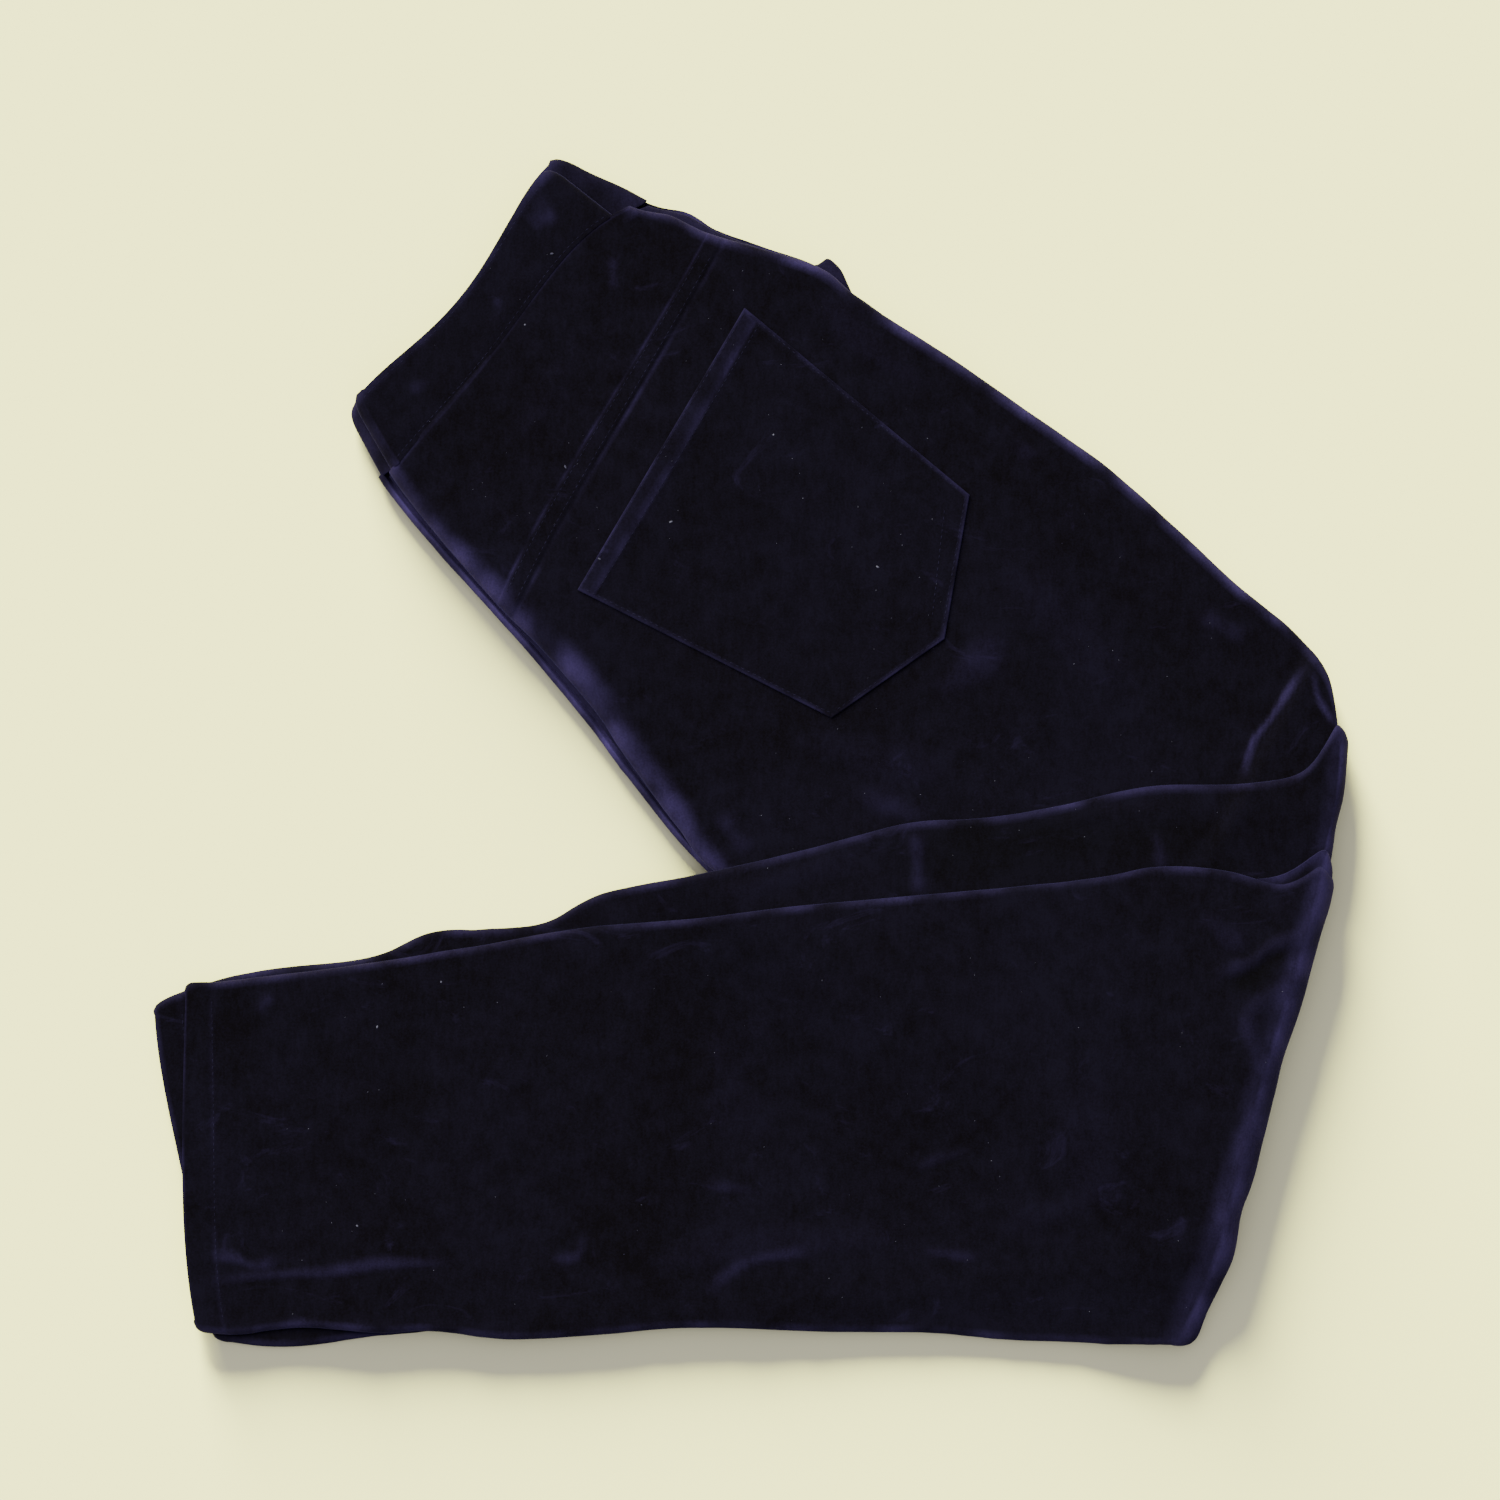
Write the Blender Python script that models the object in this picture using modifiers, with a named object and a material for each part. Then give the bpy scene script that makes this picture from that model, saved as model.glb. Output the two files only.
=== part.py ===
"""Builds a pair of velvet trousers with a jeans cut, folded in half and folded back at the knee.

The left half lies on the right half with the backs outside, so the seat and the left back pocket
face up. Both legs are folded back over the thighs, so the right leg's back is on top.
Plan sizes are in millimetres as seen from above: x to the right, y away, z up from the floor.
A row of a table is one line across the cloth, from its inner edge (centre back, then inseam) to
its outer edge (side seam). The bows move the line's quarter points towards the knee.
"""

import math
from collections import namedtuple

import bmesh
import bpy
import numpy as np

OBJECT_NAME = "folded_velvet_trousers"
MM = 0.001

# Cloth
VELVET = 1.5
BAND = 3.0
PATCH = 1.3
SEAM = 0.3
LOOSE = 0.7
LEG_LOOSE = 0.95
DOUBLED = 0.6
BAND_DEPTH = 37.0

# The hidden fronts, each as thick as it is with its pocket bags and the air in it
FRONT_AT_SEAT = 4.6
FRONT_AT_KNEE = 2.8
CORE_END = 4.0
CORE_START = 4.0

# The corner of the right side pocket's mouth, which shows past the hip
MOUTH_CORNER = 4.5

# How far cloth takes to come down past an edge, for each millimetre of the edge's height
DRAPE = 18.0

# How far each layer reaches past the fold line at the knee, from the inside out
REACH_BACK_LEFT = 1.3
REACH_FRONT_LEFT = 3.8
REACH_FRONT_RIGHT = 6.3
REACH_BACK_RIGHT = 8.8
BEND_ANGLES = (30, 60, 90, 120, 150)

# The raised corner of the left leg beside the fold
CORNER_LIFT = 3.5
CORNER_LINE = ((278.5, 43.5), (246.5, -17.5))
CORNER_SLOPE = 10.0
CORNER_FADE = (-25.0, -70.0)

Line = namedtuple("Line", "in_x in_y out_x out_y bow_1 bow_2 bow_3 roll")

# The upper left half, from the waist edge down to the fold. Roll is how wide the cloth
# turns down at the centre back and the inseam.
LEFT_HALF = [
    Line(-199, 173, -99, 292, 3.8, 7, 2.4, 5),
    Line(-179, 138.5, -59, 271.5, -1.5, -3.8, -7.9, 6),
    Line(-153, 105, -39, 267, -2.2, -3, -3.5, 8),
    Line(-126, 74, -21, 258.5, -2.6, -1.6, 0, 11),
    Line(-102, 49.5, 9, 249.5, 0, 0, 0, 13),
    Line(-77, 20.5, 36, 240.5, 0, 0, 0, 13),
    Line(-66, 4, 51, 228.5, 0, 0, 0, 13),
    Line(-54, -13, 69, 216, 0, 0, 0, 12),
    Line(-35, -38.5, 100, 196.5, 0, 0, 0, 11),
    Line(-19, -58.5, 131, 175, 0, 0, 0, 9),
    Line(25, -88.5, 174, 145, 0, 0, 0, 8),
    Line(78, -123.5, 209, 115, 0, 0, 0, 8),
    Line(130, -158.5, 241, 85, 0, 0, 0, 8),
    Line(180, -191.5, 270.5, 60.5, 1, 1.5, 1, 8),
    Line(211, -212.5, 288.5, 39, 2, 3, 3.5, 8),
    Line(236, -228.5, 294, 12.5, 2.6, 4.4, 7.2, 8),
]

# The upper right half, which lies under the left one and a little askew to it
RIGHT_HALF = [
    Line(-201, 166.5, -96, 298, 4, 7.5, 2.2, 5.5),
    Line(-184.5, 136, -52, 274, -1.5, -4.8, -7.9, 5.5),
    Line(-157, 101.5, -31, 269, -2.2, -3, -3.5, 5.5),
    Line(-130, 71.5, -16, 260, -2.6, -1.6, 0, 5.5),
    Line(-106, 44.5, 9, 251, 0, 0, 0, 5.5),
    Line(-81, 14.5, 35, 241.5, 0, 0, 0, 5.5),
    Line(-69, -1.5, 51, 229, 0, 0, 0, 5.5),
    Line(-57, -17.5, 67, 217.5, 0, 0, 0, 5.5),
    Line(-37, -42.5, 93, 196.5, 0, 0, 0, 5.5),
    Line(-19, -62, 125, 160.5, 0, 0, 0, 5.5),
    Line(21, -99.5, 163, 119.5, 0, 0, 0, 5.5),
    Line(65, -144.5, 195, 76.5, 0, 0, 0, 5.5),
    Line(110, -190.5, 228, 33, 0, 0, 0, 5.5),
    Line(155, -236.5, 254, -8.5, 2, 1, 1, 5.5),
    Line(185, -268.5, 271, -35.5, 4, 2, 1.5, 5.5),
    Line(211, -296.5, 285, -58, 6, 3, 2, 5.5),
]
WAIST_ROW, BAND_ROW, YOKE_ROW, HIP_ROW, CROTCH_ROW, THIGH_ROW, KNEE_ROW = 0, 1, 3, 5, 9, 12, 15

# The lower left leg, from the fold to the hem
LEFT_LEG = [
    Line(236, -228.5, 294, 12.5, 2.6, 4.4, 7.2, 6),
    Line(215, -243.5, 277, -10.5, 2, 3, 3, 6),
    Line(185, -251.5, 246, -17, 0, 0, 0, 6),
    Line(150, -256.5, 200, -18, 0, 0, 0, 6),
    Line(113, -261.5, 155, -28, 0, 0, 0, 6),
    Line(78, -265, 118, -34, 0, 0, 0, 6),
    Line(45, -268.5, 78, -37, 0, 0, 0, 6),
    Line(5, -273, 29, -49.5, 0, 0, 0, 6),
    Line(-37, -277.5, -19, -61, 0, 0, 0, 6),
    Line(-87, -282.5, -73, -72, 0, 0, 0, 6),
    Line(-113, -285, -102, -86.5, 0, 0, 0, 6),
    Line(-141, -288, -132, -89.5, 0, 0, 0, 6),
    Line(-166, -290.5, -160, -91.5, 0, 0, 0, 6),
    Line(-190, -293, -191, -104, 0, 0, 0, 6),
    Line(-235, -298, -252, -111.5, -0.5, -1, -1, 6),
    Line(-268, -294.5, -298, -126.5, 0, -1.2, -2.5, 6),
]

# The lower right leg, on top of the left one
RIGHT_LEG = [
    Line(211, -296.5, 285, -58, 6, 3, 2, 6),
    Line(190, -296.5, 266, -67, 3, 2, 2, 6),
    Line(163, -295.5, 238, -60.5, 0, 0, 0, 6),
    Line(125, -294, 205, -58.5, 0, 0, 0, 6),
    Line(88, -290.5, 170, -64.5, 0, 0, 0, 6),
    Line(40, -290.5, 114, -70, 0, 0, 0, 6),
    Line(-25, -288, 29, -77.5, 0, 0, 0, 6),
    Line(-75, -291.5, -30, -84.5, 0, 0, 0, 6),
    Line(-120, -294, -86, -89.5, 0, 0, 0, 6),
    Line(-157, -290, -132, -97.5, 0, 0, 0, 6),
    Line(-187, -290.5, -170, -103.5, 0, 0, 0, 6),
    Line(-225, -288, -226, -111.5, -1, -1, -0.5, 6),
    Line(-255, -291.5, -262, -115.5, -3, -2, -1, 6),
    Line(-276.5, -290, -282, -116.5, -4.5, -4.5, -2.5, 6),
]

# The left back pocket: its two hem corners, then the corners and the point of its foot
POCKET_HEM = ((-2.5, 221.5), (-86, 80.5))
POCKET_FOOT = ((110, 128), (97.5, 56), (41, 16.5))
POCKET_HEM_PLACES = (0.055, 0.065)
POCKET_DOUBLED = 0.4

BOW_PLACES = (0, 0.25, 0.5, 0.75, 1)
BOW_WEIGHTS = np.linalg.inv(np.vander(BOW_PLACES, increasing=True))


def smooth(value):
    """A ramp from 0 to 1 with level ends."""
    t = np.clip(value, 0, 1)
    return t * t * (3 - 2 * t)


def lines(table, places):
    """Lines at places in a table, where 2.5 is half way from row 2 to row 3, on a smooth curve."""
    rows = np.array(table, float)
    found = []
    for place in places:
        i = min(int(place), len(rows) - 2)
        t = place - i
        a, b, c, d = (rows[min(max(j, 0), len(rows) - 1)] for j in (i - 1, i, i + 1, i + 2))
        found.append(
            0.5 * (2 * b + (c - a) * t + (2 * a - 5 * b + 4 * c - d) * t**2
                   + (3 * b - a - 3 * c + d) * t**3)
        )
    return np.array(found)


def on_line(line, distance):
    """The plan point that is this far along a line, from its inner edge."""
    start, end = line[:2], line[2:4]
    length = np.hypot(*(end - start))
    f = distance / length
    along = (end - start) / length
    towards_knee = np.array([along[1], -along[0]])
    weights = BOW_WEIGHTS @ np.array([0, *line[4:7], 0])
    inside = min(max(f, 0), 1)
    bow = sum(w * inside**k for k, w in enumerate(weights))
    return start + along * distance + towards_knee * bow


def width(line):
    """How long a line across the cloth is, from edge to edge."""
    return float(np.hypot(line[2] - line[0], line[3] - line[1]))


def outline(table):
    """The closed plan outline of a table's cloth."""
    last_row = len(table) - 1
    rows = lines(table, np.linspace(0, last_row, 3 * last_row + 1))
    first = [on_line(rows[0], width(rows[0]) * f) for f in (0.25, 0.5, 0.75)]
    last = [on_line(rows[-1], width(rows[-1]) * f) for f in (0.75, 0.5, 0.25)]
    return np.array([*first, *rows[:, 2:4], *last, *rows[::-1, :2]])


def outside(shape, points):
    """How far each point lies outside a closed outline, 0 for a point in it."""
    a = shape
    b = np.roll(shape, -1, axis=0)
    side = b - a
    p = points[:, None, :]
    t = np.clip(((p - a) * side).sum(2) / (side**2).sum(1), 0, 1)
    away = np.linalg.norm(p - (a + t[..., None] * side), axis=2).min(1)
    x, y = p[..., 0], p[..., 1]
    rise = np.where(b[:, 1] == a[:, 1], 1, b[:, 1] - a[:, 1])
    crossed = ((a[:, 1] > y) != (b[:, 1] > y)) & (x < side[:, 0] * (y - a[:, 1]) / rise + a[:, 0])
    return np.where(crossed.sum(1) % 2 == 1, 0, away)


def front_height(points):
    """How thick each hidden front is, from the seat to the knee."""
    seat, knee = np.array([-60.0, 170.0]), np.array([265.0, -110.0])
    way = (points - seat) @ (knee - seat) / ((knee - seat) ** 2).sum()
    return FRONT_AT_SEAT + (FRONT_AT_KNEE - FRONT_AT_SEAT) * smooth(way)


def wall_layer(table, loose):
    """A layer of plain cloth: its outline, its thickness and how wide cloth drapes over its edge."""
    height = VELVET + loose
    return outline(table), lambda points: np.full(len(points), height), DRAPE * height


def front_layer(table, loose):
    """A layer of hidden front, which is thinner towards the knee."""
    return outline(table), lambda points: front_height(points) + loose, DRAPE * FRONT_AT_SEAT


# The pile from the floor up. Each layer lifts what lies on it.
PILE = [
    wall_layer(RIGHT_HALF, LOOSE),
    front_layer(RIGHT_HALF, 0),
    front_layer(LEFT_HALF, LOOSE),
    wall_layer(LEFT_HALF, LEG_LOOSE),
    wall_layer(LEFT_LEG, LOOSE),
    wall_layer(LEFT_LEG, LEG_LOOSE),
    wall_layer(RIGHT_LEG, LOOSE),
]

# How many layers of the pile lie under each piece
UNDER_BACK_RIGHT, UNDER_FRONT_RIGHT, UNDER_FRONT_LEFT, UNDER_BACK_LEFT = 0, 1, 2, 3
UNDER_LEG_BACK_LEFT, UNDER_LEG_FRONT_LEFT, UNDER_LEG_FRONT_RIGHT, UNDER_LEG_BACK_RIGHT = 4, 5, 6, 7


def corner_lift(points):
    """How far the left half is raised beside the fold, where it turns over."""
    foot, head = np.array(CORNER_LINE[1]), np.array(CORNER_LINE[0])
    along = (head - foot) / np.hypot(*(head - foot))
    right = (points - foot) @ np.array([along[1], -along[0]])
    near = smooth((points[:, 1] - CORNER_FADE[1]) / (CORNER_FADE[0] - CORNER_FADE[1]))
    return CORNER_LIFT * smooth(0.5 + right / CORNER_SLOPE) * near


def base(layer, points):
    """The height of what lies under a layer of the pile."""
    points = np.asarray(points, float).reshape(-1, 2)
    height = np.zeros(len(points))
    for shape, thickness, drape in PILE[:layer]:
        height += thickness(points) * (1 - smooth(outside(shape, points) / drape))
    if layer >= UNDER_BACK_LEFT:
        height += corner_lift(points)
    return height


def columns(count):
    """Places across a sheet: the turned edges in three steps each and count steps between."""
    turned_in = [("in", angle) for angle in (90, 60, 30)]
    between = [("flat", f) for f in np.linspace(0, 1, count + 1)]
    turned_out = [("out", angle) for angle in (30, 60, 90)]
    return turned_in + between + turned_out


# How a sheet ends: how far inside the table's line, how wide it turns down, how deep, and
# how much further than a quarter turn
Edge = namedtuple("Edge", "inset roll drop turn")


def across(line, places, inner, outer, wall=VELVET):
    """Plan points and drops across one line of a sheet, with its edges turned."""
    whole = width(line)
    plan, drops = [], []
    for side, value in places:
        if side == "flat":
            start = inner.inset + inner.roll
            end = whole - outer.inset - outer.roll
            distance, drop = start + (end - start) * value, 0.0
        else:
            edge = inner if side == "in" else outer
            turn = math.radians(value) * edge.turn
            distance = edge.inset + edge.roll - (edge.roll - wall / 2) * math.sin(turn)
            drop = edge.drop * (1 - math.cos(turn))
            if side == "out":
                distance = whole - distance
        plan.append(on_line(line, distance))
        drops.append(drop)
    return np.array(plan), np.array(drops)


def sheet_points(rows, places, layer, edges, sign=-1, raised=None):
    """The middle surface of a sheet: one row of points for each line."""
    grid = []
    for number, line in enumerate(rows):
        inner, outer = edges(line, number)
        plan, drops = across(line, places, inner, outer)
        height = base(layer, plan) + VELVET / 2 + sign * drops
        if raised is not None:
            height = height + raised(line, number)
        grid.append(np.column_stack([plan, height]))
    return np.array(grid)


def bend(upper, lower, line, reach):
    """Rows of points round a fold, from the last row above it to the first row past it."""
    along = (line[2:4] - line[:2]) / width(line)
    out = np.array([along[1], -along[0], 0])
    middle, half = (upper + lower) / 2, (upper - lower) / 2
    turns = [math.radians(a) for a in BEND_ANGLES]
    return np.array([middle + half * math.cos(a) + out * reach * math.sin(a) for a in turns])


def new_object(name, bm, material):
    """An object in the part's collection, made of a finished bmesh."""
    mesh = bpy.data.meshes.new(name)
    bm.to_mesh(mesh)
    bm.free()
    thing = bpy.data.objects.new(name, mesh)
    thing.data.materials.append(material)
    bpy.data.collections[OBJECT_NAME].objects.link(thing)
    mesh.shade_smooth()
    mesh.set_sharp_from_angle(angle=math.radians(50))
    return thing


def solidify(thing, wall):
    """Gives a middle surface its wall, half on each side."""
    wall_maker = thing.modifiers.new("Wall", "SOLIDIFY")
    wall_maker.thickness = wall * MM
    wall_maker.offset = 0
    return thing


def cloth(name, grid, material, wall=VELVET):
    """A wall of cloth whose middle surface goes through a grid of points, row by row."""
    rows, count = grid.shape[:2]
    bm = bmesh.new()
    bmesh.ops.create_grid(bm, x_segments=count - 1, y_segments=rows - 1, size=1)
    for vertex in bm.verts:
        i = round((vertex.co.y + 1) / 2 * (rows - 1))
        j = round((vertex.co.x + 1) / 2 * (count - 1))
        vertex.co = grid[i, j] * MM
    return solidify(new_object(name, bm, material), wall)


def ring_solid(name, rings, material):
    """A closed solid through rings of points, one ring for each row."""
    rows, count = rings.shape[:2]
    bm = bmesh.new()
    bmesh.ops.create_cone(
        bm, cap_ends=True, cap_tris=False, segments=count, radius1=1, radius2=1, depth=2
    )
    sides = [e for e in bm.edges if abs(e.verts[0].co.z - e.verts[1].co.z) > 1]
    bmesh.ops.subdivide_edges(bm, edges=sides, cuts=rows - 2)
    step = 2 * math.pi / count
    for vertex in bm.verts:
        j = round((math.atan2(vertex.co.y, vertex.co.x) - math.pi / 2) / step) % count
        i = round((vertex.co.z + 1) / 2 * (rows - 1))
        vertex.co = rings[i, j] * MM
    if bm.calc_volume(signed=True) < 0:
        bmesh.ops.reverse_faces(bm, faces=bm.faces)
    return new_object(name, bm, material)


def velvet(name, colour, roughness=0.9):
    """A dull cloth material of one colour."""
    material = bpy.data.materials.new(name)
    material.use_nodes = True
    shader = material.node_tree.nodes["Principled BSDF"]
    shader.inputs["Base Color"].default_value = (*colour, 1)
    shader.inputs["Roughness"].default_value = roughness
    shader.inputs["Metallic"].default_value = 0
    return material


# The open edges that are tucked inside a leg, and those that close round them
TUCKED = Edge(2.6, 6.0, 0.0, 1)
CLOSING = Edge(0.0, 3.0, 2.65, 1)

# The side seams of the upper half: how wide they turn down, and over how much of the front
SIDE_ROLL = 4.0
SIDE_SHARE = 0.45
UPTURN = Edge(0.0, 3.0, 1.3, 1)

# How far a turned edge comes down past the front's own height, at the back and at the side
PAST_FRONT_AT_BACK = 1.05
PAST_FRONT_AT_SIDE = 1.35

# The puckered lip of the right half: a turn and two thirds more, a little higher than the front
LIP_TURN = 5 / 3
LIP_ABOVE = 0.5
INSEAM_SHARE = 0.6

# Where the edges change along the rows: the first row of the change and how many it takes
TUCK_INSEAM = (THIGH_ROW - 0.5, 2.5)
TUCK_SIDE = (KNEE_ROW - 1, 1)
END_LIP = (CROTCH_ROW, 1.5)


def front_at(spot):
    """How thick the hidden front is at one plan point."""
    return float(front_height(np.asarray(spot)[None, :])[0])


def change(place, rows):
    """How far a change along the rows has gone at this place, from 0 to 1."""
    return smooth((place - rows[0]) / rows[1])


def blend(a, b, share):
    """An edge between two others."""
    return Edge(*(x + (y - x) * share for x, y in zip(a, b)))


def left_edges(line, place):
    """How the upper left half ends at the centre back or inseam, and at the side seam."""
    inner = Edge(0, line[7], front_at(line[:2]) + PAST_FRONT_AT_BACK, 1)
    outer = Edge(0, SIDE_ROLL, SIDE_SHARE * front_at(line[2:4]) + PAST_FRONT_AT_SIDE, 1)
    return (
        blend(inner, TUCKED, change(place, TUCK_INSEAM)),
        blend(outer, TUCKED, change(place, TUCK_SIDE)),
    )


def right_edges(line, place):
    """How the upper right half turns up: as a lip along the centre back, closed past it."""
    front = front_at(line[:2])
    whole_turn = 1 - math.cos(math.radians(90 * LIP_TURN))
    lip = Edge(0, line[7], (front + LIP_ABOVE) / whole_turn, LIP_TURN)
    inseam = Edge(0, line[7], INSEAM_SHARE * front, 1)
    return blend(lip, inseam, change(place, END_LIP)), UPTURN


def between(first, last, per_row, extra=()):
    """Places from one row to another, at so many a row, with some extra ones."""
    count = int(round((last - first) * per_row)) + 1
    return sorted([*np.linspace(first, last, count), *extra])


# The gap at a seam as a share of a row, and the places where seams and hems are doubled
SEAM_STEP = 0.013
LEFT_END = len(LEFT_LEG) - 1
RIGHT_END = len(RIGHT_LEG) - 1
FELL_PLACES = (YOKE_ROW + 0.27, YOKE_ROW + 0.33)
LEFT_HEM_PLACES = (LEFT_END - 0.36, LEFT_END - 0.30)
RIGHT_HEM_PLACES = (RIGHT_END - 0.72, RIGHT_END - 0.62)


def upper_sheet(table, places, across_places, layer, edges, sign, raised=None):
    """Points of a sheet of the seat and thigh, whose edges change along the rows."""
    return sheet_points(
        lines(table, places), across_places, layer,
        lambda line, number: edges(line, places[number]), sign,
        raised and (lambda line, number: raised(places[number])),
    )


def lower_sheet(table, places, across_places, layer, edge, raised=None):
    """Points of a sheet of the folded leg, whose two edges are the same all along."""
    return sheet_points(
        lines(table, places), across_places, layer, lambda line, number: (edge, edge), -1,
        raised and (lambda line, number: raised(places[number])),
    )


def tangent_row(table, across_places, layer, edge, sign):
    """The row of points where a hidden front comes out of the pile at the knee fold."""
    line = lines(table, [len(table) - 1])[0]
    plan, drops = across(line, across_places, edge, edge)
    height = base(layer, plan) + front_height(plan) / 2 + sign * drops
    return np.column_stack([plan, height])


def around_knee(upper, lower, table, reach):
    """One sheet from its upper rows, round the fold, to its lower rows."""
    line = lines(table, [len(table) - 1])[0]
    return np.concatenate([upper, bend(upper[-1], lower[0], line, reach), lower])


def back_left(material, count=11, per_row=2):
    """The left leg's back, from the yoke round the knee fold to the hem."""
    across_places = columns(count)
    upper = upper_sheet(
        LEFT_HALF, between(YOKE_ROW + SEAM_STEP, KNEE_ROW, per_row, FELL_PLACES),
        across_places, UNDER_BACK_LEFT, left_edges, -1,
        lambda place: DOUBLED * (place <= FELL_PLACES[0]),
    )
    lower = lower_sheet(LEFT_LEG, between(0, LEFT_END, 2), across_places, UNDER_LEG_BACK_LEFT, TUCKED)
    return cloth("back_left", around_knee(upper, lower, LEFT_HALF, REACH_BACK_LEFT), material)


def front_left(material, count=11):
    """The left leg's front, from inside the knee fold to the hem."""
    across_places = columns(count)
    start = tangent_row(LEFT_HALF, across_places, UNDER_FRONT_LEFT, CLOSING, 1)
    lower = lower_sheet(
        LEFT_LEG, between(0, LEFT_END, 2, LEFT_HEM_PLACES), across_places, UNDER_LEG_FRONT_LEFT, CLOSING,
        lambda place: DOUBLED * (place >= LEFT_HEM_PLACES[1]),
    )
    return cloth("front_left", around_knee(start[None], lower, LEFT_HALF, REACH_FRONT_LEFT), material)


def front_right(material, count=11):
    """The right leg's front, from inside the knee fold to the hem."""
    across_places = columns(count)
    start = tangent_row(RIGHT_HALF, across_places, UNDER_FRONT_RIGHT, TUCKED, 1)
    lower = lower_sheet(RIGHT_LEG, between(0, RIGHT_END, 2), across_places, UNDER_LEG_FRONT_RIGHT, TUCKED)
    return cloth("front_right", around_knee(start[None], lower, RIGHT_HALF, REACH_FRONT_RIGHT), material)


def back_right(material, count=11, per_row=1):
    """The right leg's back: the underside of the pile, round the knee fold, and its top."""
    across_places = columns(count)
    upper = upper_sheet(
        RIGHT_HALF, between(YOKE_ROW + SEAM_STEP, KNEE_ROW, per_row),
        across_places, UNDER_BACK_RIGHT, right_edges, 1,
    )
    lower = lower_sheet(
        RIGHT_LEG, between(0, RIGHT_END, 2, RIGHT_HEM_PLACES), across_places, UNDER_LEG_BACK_RIGHT, CLOSING,
        lambda place: DOUBLED * (place >= RIGHT_HEM_PLACES[1]),
    )
    return cloth("back_right", around_knee(upper, lower, RIGHT_HALF, REACH_BACK_RIGHT), material)


def yoke(name, table, layer, edges, sign, material, count=12):
    """A back yoke, between the waistband and a back."""
    places = between(BAND_ROW + SEAM_STEP, YOKE_ROW, 2)
    return cloth(name, upper_sheet(table, places, columns(count), layer, edges, sign), material)


# The corners of the hidden fronts' section: how far in from the line's end, how far up the
# front's own thickness, and how much of the pocket mouth's corner is added
Corner = namedtuple("Corner", "inside share mouth", defaults=[0])
LOWER_AT_SIDE = [Corner(2.6, 0.05), Corner(0.6, 0.35, 1), Corner(0.6, 0.7, 1), Corner(3, 1)]
UPPER_AT_SIDE = [
    Corner(0.9, 0.15), Corner(0.3, 0.4), Corner(2.4, 0.55), Corner(2.4, 0.775), Corner(3.1, 0.94)
]
UPPER_AT_GROOVE = Corner(5, 0)
LOWER_AT_BACK = [Corner(6.5, 1), Corner(4.5, 0.7), Corner(4.2, 0.5), Corner(4.8, 0.2)]
GROOVE_AT_SIDE = 6.0
FLAT_STEPS = 9

# The flat runs stop short of the corners, and the turned edge stays inside the back's wall
SHORT_AT_BACK, SHORT_AT_SIDE, SHORT_ON_TOP = 1.2, 1.9, 0.5
UNDER_WALL = 2.1
LOWEST_SHARE = 0.1


def end_shift(ring, neighbour, distance):
    """Moves an end ring along the solid, away from the piece that it faces."""
    step = neighbour - ring
    step[:, 2] = 0
    return step / np.linalg.norm(step, axis=1)[:, None] * distance


def fronts_section(place):
    """One section of the hidden fronts: the right front below, the left front on it."""
    left, right = lines(LEFT_HALF, [place])[0], lines(RIGHT_HALF, [place])[0]
    upper_width, lower_width = width(left), width(right)

    def lower(distance, share):
        spot = on_line(right, distance)
        return (*spot, VELVET + LOOSE + share * front_at(spot))

    def upper(distance, share):
        spot = on_line(left, distance)
        return (*spot, float(base(UNDER_FRONT_LEFT, spot)[0]) + share * front_at(spot))

    ring = []
    first = LOWER_AT_BACK[-1].inside + SHORT_AT_BACK
    last = lower_width - LOWER_AT_SIDE[0].inside - SHORT_AT_SIDE
    for f in np.linspace(0, 1, FLAT_STEPS):
        ring.append(lower(first + (last - first) * f, 0))
    mouth = MOUTH_CORNER * (place == HIP_ROW + 0.5)
    for corner in LOWER_AT_SIDE:
        ring.append(lower(lower_width - corner.inside + mouth * corner.mouth, corner.share))
    groove = on_line(right, lower_width - LOWER_AT_SIDE[-1].inside)
    under = on_line(left, upper_width - GROOVE_AT_SIDE)
    for f in (1 / 3, 2 / 3, 1):
        spot = groove + (under - groove) * f
        ring.append((*spot, float(base(UNDER_FRONT_LEFT, spot)[0])))
    for corner in UPPER_AT_SIDE:
        ring.append(upper(upper_width - corner.inside, corner.share))
    inner = left_edges(left, place)[0]
    start, end = inner.inset + inner.roll, upper_width - SIDE_ROLL - SHORT_ON_TOP
    for f in np.linspace(1, 0, FLAT_STEPS):
        ring.append(upper(start + (end - start) * f, 1))
    for angle in (30, 60, 90):
        turn = math.radians(angle)
        share = LOWEST_SHARE + (1 - LOWEST_SHARE) * math.cos(turn)
        ring.append(upper(start - (start - UNDER_WALL) * math.sin(turn), share))
    ring.append(upper(UPPER_AT_GROOVE.inside, UPPER_AT_GROOVE.share))
    for corner in LOWER_AT_BACK:
        ring.append(lower(corner.inside, corner.share))
    return ring


def inner_layers(material, per_row=2):
    """The hidden fronts as one rounded solid, with a groove between them all round."""
    rings = np.array([fronts_section(place) for place in between(BAND_ROW, KNEE_ROW, per_row)])
    rings[0] += end_shift(rings[0], rings[1], CORE_START)
    rings[-1] += end_shift(rings[-1], rings[-2], CORE_END)
    return ring_solid("inner_layers", rings, material)


# The band's folds: where the folded fronts turn, and the steps of each turn
CENTRE_FRONT = 7.2
SMALL_TURN, LARGE_TURN = 4, 8
STRIP_STEPS = 10
BAND_ROWS = 4

# A place on the band's path: what it is measured from, how far (a share of a strip's length),
# what is added, its height, and its share of the left half's plan (0 is the right half's)
Place = namedtuple("Place", "kind value reach height share")


def strip(start, height, share, backwards):
    """A flat run of the band between two folds."""
    places = [Place("strip", f, start, height, share) for f in np.linspace(0, 1, STRIP_STEPS)]
    return places[::-1] if backwards else places


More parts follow.
